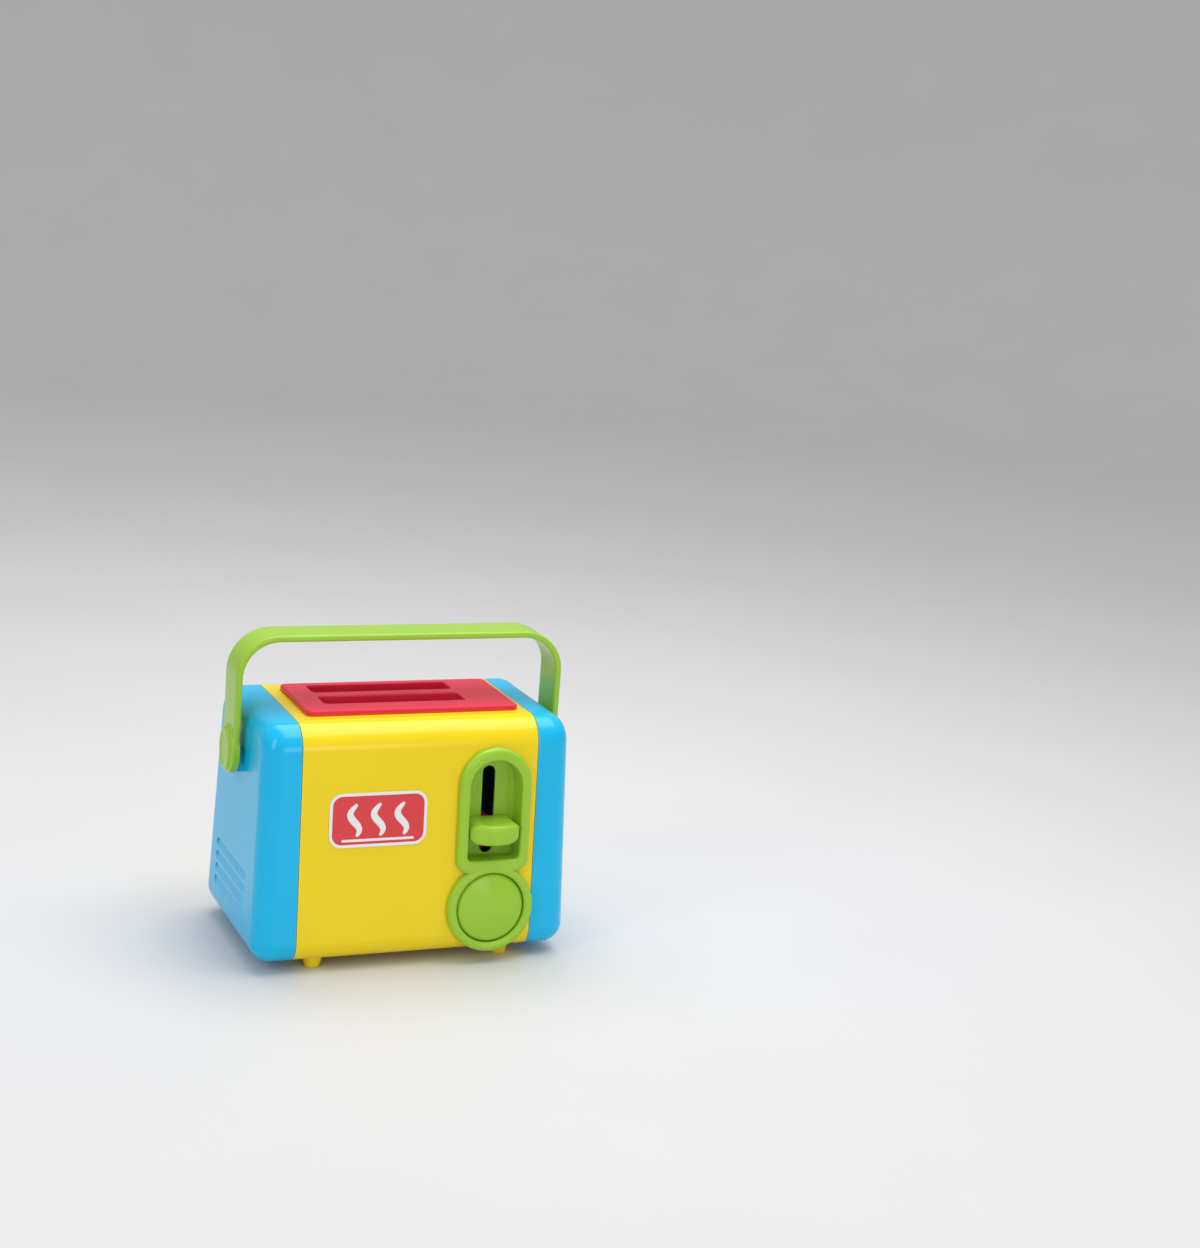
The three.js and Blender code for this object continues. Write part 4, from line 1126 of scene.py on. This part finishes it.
def carry_handle():
    """A flat band bent into a bail, with dished ears and the pegs it turns on."""
    half_t, half_w = BAND_THICKNESS / 2, BAND_WIDTH / 2
    radius = BAND_CORNER - half_t
    side_x, middle = (ARM_OUTER + ARM_INNER) / 2, PIVOT_UP + EAR_RISE
    centre = Vector((side_x - radius, HANDLE_TOP - half_t - radius))
    path = [(Vector((side_x, middle)), 0.0)]
    path += [(centre + Vector((math.cos(t), math.sin(t))) * radius, t) for t in quarter(24)]
    path += [(Vector((-point.x, point.y)), math.pi - angle) for point, angle in reversed(path)]
    section = [
        (u - (BAND_CROWN * (v / half_w) ** 2 if u > 0 else 0), v)
        for u, v in rectangle(-half_t, half_t, -half_w, half_w, BAND_EDGE, 6)(0)
    ]
    band = []
    for point, angle in path:
        out = Vector((math.cos(angle), 0, math.sin(angle)))
        band.append([Vector((point.x, v, point.y)) + out * u for u, v in section])
    made = link("carry_handle_skin", loft(band))
    face = ARM_INNER + EAR_THICKNESS
    top = face + PAD_THICKNESS
    rim = PAD_EDGE + PAD_RIM
    ear, pad = (oval(0, middle, wide / 2, high / 2) for wide, high in (EAR_SIZE, PAD_SIZE))
    levels = [(0.4, ARM_INNER - HAIR), (0, ARM_INNER + 0.4)] + rounded_top(face, EAR_EDGE, 8)
    dish = [(rim + DISH_WIDTH * (1 - math.cos(t)), top - DISH_DEPTH * math.sin(t)) for t in quarter(10)]
    pad_levels = [(0, face)] + rounded_top(top, PAD_EDGE, 8) + dish
    side = link("tool", loft(rings(ear, levels, along_x) + rings(pad, pad_levels, along_x)))
    peg = rod(PEG_RADIUS, (PEG_END, 0, PIVOT_UP), (ARM_INNER + 1, 0, PIVOT_UP), ROD_EASE)
    cut(peg, rod(PEG_BORE, (PEG_END - PAST, 0, PIVOT_UP), (ARM_INNER - PAST, 0, PIVOT_UP), 0))
    join(side, peg)
    return join(made, side, mirrored(side, "tool"))


def base_plate():
    """The bottom plate with the feet, the rod bosses and the latch's cheeks."""
    end, root = SEAM + PAST, UNDERSIDE + 0.2
    made = body_prism(0, -SHELL_END, SHELL_END, "base_plate_skin")
    combine(made, [slab(-end, end, -BASE_REACH, BASE_REACH, -PAST, BASE_TOP)], "INTERSECT")
    sole = FOOT_RADIUS - FOOT_TAPER
    profile = [(sole - ease, up) for ease, up in SOLE_EASE] + [(FOOT_RADIUS, BASE_TOP)]
    parts = [turned(profile, (x, y, 0), (0, 0, 1)) for x, y in FOOT_PLACES]
    parts += uprights(BUSH_RADIUS, ROD_PLACES, root, BASE_TOP + ROD_BOSS)
    high, mid, back = PIN_Z + CHEEK_RISE, PIN_Z - CHEEK_DROP, PIN_Y + CHEEK_BACK
    for side in (-1, 1):
        a, b = sorted(CONTROL_X + side * x for x in (CHEEK_INNER, CHEEK_OUTER))
        parts.append(slab(a, b, PIN_Y - CHEEK_HALF, PIN_Y + CHEEK_HALF, root, high))
        parts.append(slab(a, b, PIN_Y, back, root, mid))
    left, right = CONTROL_X - CHEEK_OUTER, CONTROL_X + CHEEK_OUTER
    parts.append(slab(left, right, back - CHEEK_OUTER + CHEEK_INNER, back, root, mid))
    x, y0, y1, z = STOP_CORNERS
    parts.append(slab(CONTROL_X + x, right, PIN_Y + y0, PIN_Y + y1, PIN_Z + z, high))
    join(made, *parts)
    holes = uprights(SCREW_HEAD + GAP, FOOT_PLACES, -PAST, COUNTERBORE, 0)
    holes += uprights(SCREW_RADIUS + GAP, FOOT_PLACES, 0, BASE_TOP + PAST, 0)
    holes += uprights(ROD_RADIUS + GAP, ROD_PLACES, BASE_TOP, BASE_TOP + ROD_BOSS + PAST, 0)
    holes.append(rod(PIN_HOLE, (CONTROL_X - 20, PIN_Y, PIN_Z), (CONTROL_X + 20, PIN_Y, PIN_Z), 0))
    return cut(made, *holes)


def label():
    """A rounded plaque: white film, a red field, three rising waves and a bar."""
    half, bottom, top = LABEL_WIDTH / 2, LABEL_LOW, LABEL_LOW + LABEL_HEIGHT
    low, high = GAP, GAP + LABEL_FILM
    root, printed = low + PRINT_ROOT, high - PRINT_LIFT
    outline = rectangle(LABEL_X - half, LABEL_X + half, bottom, top, LABEL_CORNER, 12)
    film = stack(outline, [(0, low)] + rounded_top(high - PRINT_LIFT * 2, 0.1, 3), on_front, "label_film")
    stations = [(LABEL_MARGIN, low + 0.1), (LABEL_MARGIN, printed - HAIR), (LABEL_MARGIN + 0.05, printed)]
    field = stack(outline, stations, on_front, "label_field")
    waves = []
    for k, x in enumerate(WAVE_XS, 1):
        points = []
        for share in (i / 40 for i in range(41)):
            across = LABEL_X + x + WAVE_SWAY * math.sin(share * 2 * math.pi + 0.4)
            points.append((across, bottom + LABEL_HEIGHT / 2 + WAVE_RISE * (share - 0.5)))
        waves.append(ribbon(points, WAVE_HALF, root, high, f"label_wave_{k}"))
    bar = rectangle(LABEL_X - BAR_HALF, LABEL_X + BAR_HALF, bottom + BAR_LOW, bottom + BAR_HIGH, 0.75, 6)
    stations = [(0, root), (0, high - 0.01), (0.05, high)]
    return film, field, waves, stack(bar, stations, on_front, "label_bar")


def ribbon(points, half, low, high, name):
    """A printed stroke on the front face, thick in the middle and pointed at both ends."""
    left, right = [], []
    last = len(points) - 1
    for i, (x, z) in enumerate(points):
        near, far = points[max(i - 1, 0)], points[min(i + 1, last)]
        along = Vector((far[0] - near[0], far[1] - near[1])).normalized()
        width = half * math.sin(math.pi * (0.06 + 0.88 * i / last)) ** 0.6
        across = Vector((-along.y, along.x)) * width
        left.append(Vector((x, z)) + across)
        right.append(Vector((x, z)) - across)
    loop = right + left[::-1]
    return prism(lambda _: loop, low, high, on_front, name)


def coil(radius, low, high, curls, place, sides=40):
    """Points along an evenly wound coil."""
    points = []
    for share in (k / (sides * curls) for k in range(sides * curls + 1)):
        t = share * curls * 2 * math.pi
        points.append(place(radius * math.cos(t), radius * math.sin(t), low + share * (high - low)))
    return points


def latch_spring():
    """A torsion spring round the latch's pin, with a leg on the base's stop and one on the latch."""
    low, high = extent("latch_spring")
    first, last = low.x + LATCH_WIRE, high.x - LATCH_WIRE
    radius, y = (high.y - low.y) / 2 - LATCH_WIRE, (low.y + high.y) / 2 - MID_Y
    up, down = high.z - PIN_Z, low.z - PIN_Z
    points = [Vector((first, y + radius, PIN_Z + up * k / 10)) for k in range(10, 0, -1)]
    points += coil(radius, first, last, 2, lambda u, v, x: Vector((x, y + u, PIN_Z - v)), 48)
    points += [Vector((last, y + radius, PIN_Z + down * k / 10)) for k in range(1, 11)]
    ends = Vector((first, y, PIN_Z)), Vector((last, y, PIN_Z))
    return wire(points, LATCH_WIRE, "latch_spring_skin"), ends


# Stage

def soft_light(name, place, size, power):
    """A rectangular light aimed at the toaster, in metres."""
    data = bpy.data.lights.new(name, "AREA")
    data.shape = "RECTANGLE"
    data.size, data.size_y = size
    data.energy = power
    lamp = add(name, data)
    lamp.location = place
    lamp.rotation_euler = (LIGHT_TARGET - Vector(place)).to_track_quat("-Z", "Y").to_euler()


def stage_material():
    look, tree, shader = new_material("Pale floor")
    place = object_place(tree)
    tone = mix_colour(tree, noise(tree, place, 6.0, 3.0), (0.68, 0.68, 0.69, 1), (0.72, 0.72, 0.73, 1))
    set_inputs(tree, shader, Base_Color=tone, Roughness=0.6)
    add_bump(tree, noise(tree, place, 400.0, 3.0), 0.0001, 0.2, shader)
    return look


def build_floor():
    """A round floor that curves up into a wall all round."""
    sweep, back = WALL_RADIUS - FLOOR_RADIUS, WALL_RADIUS + 50
    curve = [(FLOOR_RADIUS + sweep * math.sin(t), sweep * (1 - math.cos(t))) for t in quarter(24)]
    profile = [(1, 0), *curve, (WALL_RADIUS, WALL_TOP), (back, WALL_TOP), (back, -50), (1, -50)]
    floor = turned(profile, (0, 0, 0), (0, 0, 1), 128, "floor")
    smooth(floor, stage_material())
    floor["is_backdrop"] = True


def build_world():
    world = bpy.data.worlds.new("Studio")
    bpy.context.scene.world = world
    world.use_nodes = True
    tree = world.node_tree
    path = tree.nodes.new("ShaderNodeLightPath").outputs
    seen = math_node(tree, "MAXIMUM", path["Is Camera Ray"], path["Is Transmission Ray"])
    light = sizes().world_light
    shade = mix_colour(tree, seen, (light, light, light, 1), (0.96, 0.96, 0.97, 1))
    set_inputs(tree, tree.nodes["Background"], Color=shade, Strength=1.0)


def build_camera():
    data = bpy.data.cameras.new("Camera")
    data.sensor_width = SENSOR
    data.lens = FOCAL_PIXELS / PHOTO_HEIGHT * SENSOR
    camera = add("Camera", data)
    turn = Matrix.Rotation(-CAMERA_YAW, 4, "Z") @ Matrix.Rotation(math.pi / 2 - CAMERA_PITCH, 4, "X")
    camera.matrix_world = Matrix.Translation(CAMERA_PLACE * MM) @ turn @ Matrix.Rotation(CAMERA_ROLL, 4, "Z")
    bpy.context.scene.camera = camera


# Add-on

class ToasterSizes(PropertyGroup):
    """How finely and how softly the pieces are finished."""

    fillet_steps: IntProperty(
        name="Fillet steps", description="Facets in each large fillet", default=24, min=4, max=64
    )
    seam_edge: FloatProperty(
        name="Seam edge", description="Rounding along the seams, in millimetres",
        default=0.4, min=0.1, max=2,
    )
    vent_edge: FloatProperty(
        name="Louvre lip", description="Rounding of the louvres' lips, in millimetres",
        default=0.5, min=0.05, max=1,
    )
    sharp_angle: FloatProperty(
        name="Sharp angle", description="Edges above this angle stay sharp",
        default=math.radians(32), subtype="ANGLE",
    )
    # How much rounded edges pale: partly wear, partly a painted highlight
    edge_wear_and_highlight: FloatProperty(
        name="Edge wear and highlight", description="How much rounded edges pale",
        default=0.5, min=0, max=1, subtype="FACTOR",
    )
    world_light: FloatProperty(
        name="World light", description="Strength of the light from all around",
        default=0.62, min=0, max=2,
    )
    key_light: FloatProperty(
        name="Key light", description="Power of the large light overhead",
        default=12.0, min=0, unit="POWER",
    )
    side_light: FloatProperty(
        name="Side light", description="Power of the light on the left",
        default=3.5, min=0, unit="POWER",
    )
    front_light: FloatProperty(
        name="Front light", description="Power of the weak light in front",
        default=3.2, min=0, unit="POWER",
    )


def colour_property(label, value):
    return FloatVectorProperty(
        name=label, description=f"Colour of the {label.lower()}",
        default=value, size=3, min=0, max=1, subtype="COLOR",
    )


class ToasterColours(PropertyGroup):
    """The colours of the plastics, the metals and the label."""

    yellow: colour_property("Body shell", (0.93, 0.69, 0.003))
    blue: colour_property("End caps", (0.0, 0.5, 0.86))
    green: colour_property("Controls and handle", (0.34, 0.6, 0.035))
    red: colour_property("Slot panel", (0.78, 0.025, 0.07))
    label_red: colour_property("Label field", (0.72, 0.008, 0.018))
    label_white: colour_property("Label film", (0.86, 0.86, 0.85))
    steel: colour_property("Screws and rods", (0.56, 0.57, 0.59))
    spring: colour_property("Springs", (0.42, 0.43, 0.45))


class TOASTER_OT_body_shell(Operator):
    """Build the yellow body shell"""

    bl_idname = "toaster.body_shell"
    bl_label = "Body shell"

    def execute(self, context):
        dress(body_shell(), yellow(), "body", "yellow_plastic", "body_shell")
        return {"FINISHED"}


class TOASTER_OT_end_caps(Operator):
    """Build the two blue end caps"""

    bl_idname = "toaster.end_caps"
    bl_label = "End caps"

    def execute(self, context):
        right = end_cap()
        left = mirrored(right, "left_end_skin")
        cut(right, collar_way())
        dress(right, blue(), "body", "blue_plastic", "right_end_cap")
        dress(left, blue(), "body", "blue_plastic", "left_end_cap")
        return {"FINISHED"}


class TOASTER_OT_slot_panel(Operator):
    """Build the red slot panel"""

    bl_idname = "toaster.slot_panel"
    bl_label = "Slot panel"

    def execute(self, context):
        dress(slot_panel(), red(), "body", "red_plastic", "slot_panel")
        return {"FINISHED"}


class TOASTER_OT_controls(Operator):
    """Build the bezel, the release button with its clip, and the lever knob"""

    bl_idname = "toaster.controls"
    bl_label = "Controls"

    def execute(self, context):
        dress(control_bezel(), green(), "body", "green_plastic", "control_bezel")
        button, clip = release_button()
        dress(button, green(), "button", "green_plastic", "release_button")
        dress(clip, spring_steel(), "button", "spring_steel", "button_clip")
        dress(lever_knob(), green(), "carriage", "green_plastic", "lever_knob")
        return {"FINISHED"}


class TOASTER_OT_carriage(Operator):
    """Build the toast carriage and the rods and springs it runs on"""

    bl_idname = "toaster.carriage"
    bl_label = "Toast carriage"

    def execute(self, context):
        dress(toast_carriage(), red(), "carriage", "red_plastic", "toast_carriage")
        for x, side in zip(ROD_XS, ("left", "right")):
            low, high = (corner.z for corner in extent(f"guide_rod_{side}"))
            bar = rod(ROD_RADIUS, (x, ROD_Y, low), (x, ROD_Y, high), ROD_EASE, name=f"guide_rod_{side}_skin")
            dress(bar, steel(), "body", "steel", f"guide_rod_{side}")
            low, high = (corner.z for corner in extent(f"lift_spring_{side}"))
            radius, place = (ROD_RADIUS + BUSH_RADIUS) / 2, aimed((x, ROD_Y, 0), (0, 0, 1))
            points = coil(radius, low + LIFT_WIRE, high - LIFT_WIRE, 7, place)
            spring = wire(points, LIFT_WIRE, f"lift_spring_{side}_skin")
            dress_spring(spring, "carriage", (x, ROD_Y, low), (x, ROD_Y, high), f"lift_spring_{side}")
        return {"FINISHED"}


class TOASTER_OT_carry_handle(Operator):
    """Build the carry handle"""

    bl_idname = "toaster.carry_handle"
    bl_label = "Carry handle"

    def execute(self, context):
        dress(carry_handle(), green(), "handle", "green_plastic", "carry_handle")
        return {"FINISHED"}


class TOASTER_OT_base(Operator):
    """Build the base plate with its feet"""

    bl_idname = "toaster.base"
    bl_label = "Base plate"

    def execute(self, context):
        dress(base_plate(), yellow(), "body", "yellow_plastic", "base_plate")
        return {"FINISHED"}


class TOASTER_OT_screws(Operator):
    """Build the screws that hold the shells and the handle"""

    bl_idname = "toaster.screws"
    bl_label = "Screws"

    def execute(self, context):
        upright = [f"base_screw_{i}" for i in range(1, 5)] + [f"panel_screw_{i}" for i in range(1, 4)]
        for node in upright:
            low, high = extent(node)
            middle = (low + high) / 2
            seat = (middle.x, middle.y - MID_Y, low.z + SCREW_HEAD_HEIGHT)
            self.place(node, seat, (0, 0, 1), high.z - seat[2])
        outwards = FRONT.to_3x3() @ Vector((0, -1, 0))
        brow = (ARCH_HIGH + POCKET_HIGH + BEZEL_WALL) / 2
        neck = (ARCH_LOW + POCKET_LOW - BEZEL_WALL) / 2
        length = WALL + GAP + BEZEL_PROUD - SCREW_COVER
        for i, (across, up) in enumerate(((0, brow), (-BEZEL_SCREW_X, neck), (BEZEL_SCREW_X, neck)), 1):
            seat = on_front(CONTROL_X + across, up, -WALL - GAP)
            self.place(f"bezel_screw_{i}", seat, outwards, length)
        for side, way in (("left", -1), ("right", 1)):
            seat = (way * (WASHER_LOW.x - GAP), 0, PIVOT_UP)
            self.place(f"pivot_screw_{side}", seat, (way, 0, 0), PEG_LENGTH - 1, "handle", PIVOT_SCREW_SCALE)
        return {"FINISHED"}

    @staticmethod
    def place(node, seat, axis, length, body="body", scale=1.0):
        dress(screw(f"{node}_skin", seat, axis, length, scale), steel(), body, "steel", node)


class TOASTER_OT_label(Operator):
    """Build the plain label on the front"""

    bl_idname = "toaster.label"
    bl_label = "Label"

    def execute(self, context):
        film, field, waves, bar = label()
        white = printed_film("White film", colours().label_white)
        ink = printed_film("Red ink", colours().label_red)
        dress(film, white, "body", "label", "front_label")
        dress(field, ink, "body", "label")
        for made in (*waves, bar):
            dress(made, white, "body", "label")
        return {"FINISHED"}


class TOASTER_OT_inner_metal(Operator):
    """Build the button's and the latch's springs, and give the small steel pieces their finish"""

    bl_idname = "toaster.inner_metal"
    bl_label = "Inner metal"

    def execute(self, context):
        low, high = BUTTON_WIRE + GAP - COLLAR_DEPTH, BUTTON_EDGE - WALL - GAP - BUTTON_WIRE
        points = coil(
            BUTTON_SPRING_RADIUS, low, high, 4, lambda u, v, up: on_front(CONTROL_X + u, RING_UP + v, up)
        )
        ends = [on_front(CONTROL_X, RING_UP, height) for height in (low, high)]
        dress_spring(wire(points, BUTTON_WIRE, "button_spring_skin"), "button", *ends, "button_spring")
        spring, ends = latch_spring()
        dress_spring(spring, "latch", *ends, "latch_spring")
        for name in ("latch_hook", "latch_pin", "pivot_washer_left", "pivot_washer_right"):
            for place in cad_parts[name].material_slots:
                place.material = steel()
        return {"FINISHED"}


class TOASTER_OT_stage(Operator):
    """Build the floor, the lights and the camera"""

    bl_idname = "toaster.stage"
    bl_label = "Stage"

    def execute(self, context):
        context.scene.view_settings.view_transform = "Standard"
        build_floor()
        soft_light("Overhead", (0.2, 0.1, 1.2), (1.5, 0.8), sizes().key_light)
        soft_light("Left", (-1.2, -0.7, 0.8), (0.3, 0.9), sizes().side_light)
        soft_light("Front", (0.2, -1.7, 0.4), (0.7, 0.5), sizes().front_light)
        build_world()
        build_camera()
        return {"FINISHED"}


PIECES = (
    TOASTER_OT_body_shell,
    TOASTER_OT_end_caps,
    TOASTER_OT_slot_panel,
    TOASTER_OT_controls,
    TOASTER_OT_carriage,
    TOASTER_OT_carry_handle,
    TOASTER_OT_base,
    TOASTER_OT_screws,
    TOASTER_OT_label,
    TOASTER_OT_inner_metal,
    TOASTER_OT_stage,
)


class TOASTER_PT_panel(Panel):
    """The toaster's pieces, colours and finish"""

    bl_idname = "TOASTER_PT_panel"
    bl_label = "Toy toaster"
    bl_space_type = "VIEW_3D"
    bl_region_type = "UI"
    bl_category = "Toaster"

    def draw(self, context):
        for group in (context.scene.toaster_sizes, context.scene.toaster_colours):
            box = self.layout.box()
            for name in group.__annotations__:
                box.prop(group, name)
        for operator in PIECES:
            self.layout.operator(operator.bl_idname)


CLASSES = (ToasterSizes, ToasterColours, *PIECES, TOASTER_PT_panel)


def register():
    for kind in CLASSES:
        bpy.utils.register_class(kind)
    bpy.types.Scene.toaster_sizes = PointerProperty(type=ToasterSizes)
    bpy.types.Scene.toaster_colours = PointerProperty(type=ToasterColours)


def unregister():
    del bpy.types.Scene.toaster_colours
    del bpy.types.Scene.toaster_sizes
    for kind in reversed(CLASSES):
        bpy.utils.unregister_class(kind)


def corners(box):
    return [list(corner) for corner in box]


def main():
    frame_box = corners(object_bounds())
    register()
    bpy.ops.toaster.stage()
    bpy.ops.toaster.body_shell()
    bpy.ops.toaster.end_caps()
    bpy.ops.toaster.slot_panel()
    bpy.ops.toaster.controls()
    bpy.ops.toaster.carriage()
    bpy.ops.toaster.carry_handle()
    bpy.ops.toaster.base()
    bpy.ops.toaster.screws()
    bpy.ops.toaster.label()
    bpy.ops.toaster.inner_metal()
    {"frame": frame_box, "visual": corners(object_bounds())}


if __name__ == "__main__":
    main()
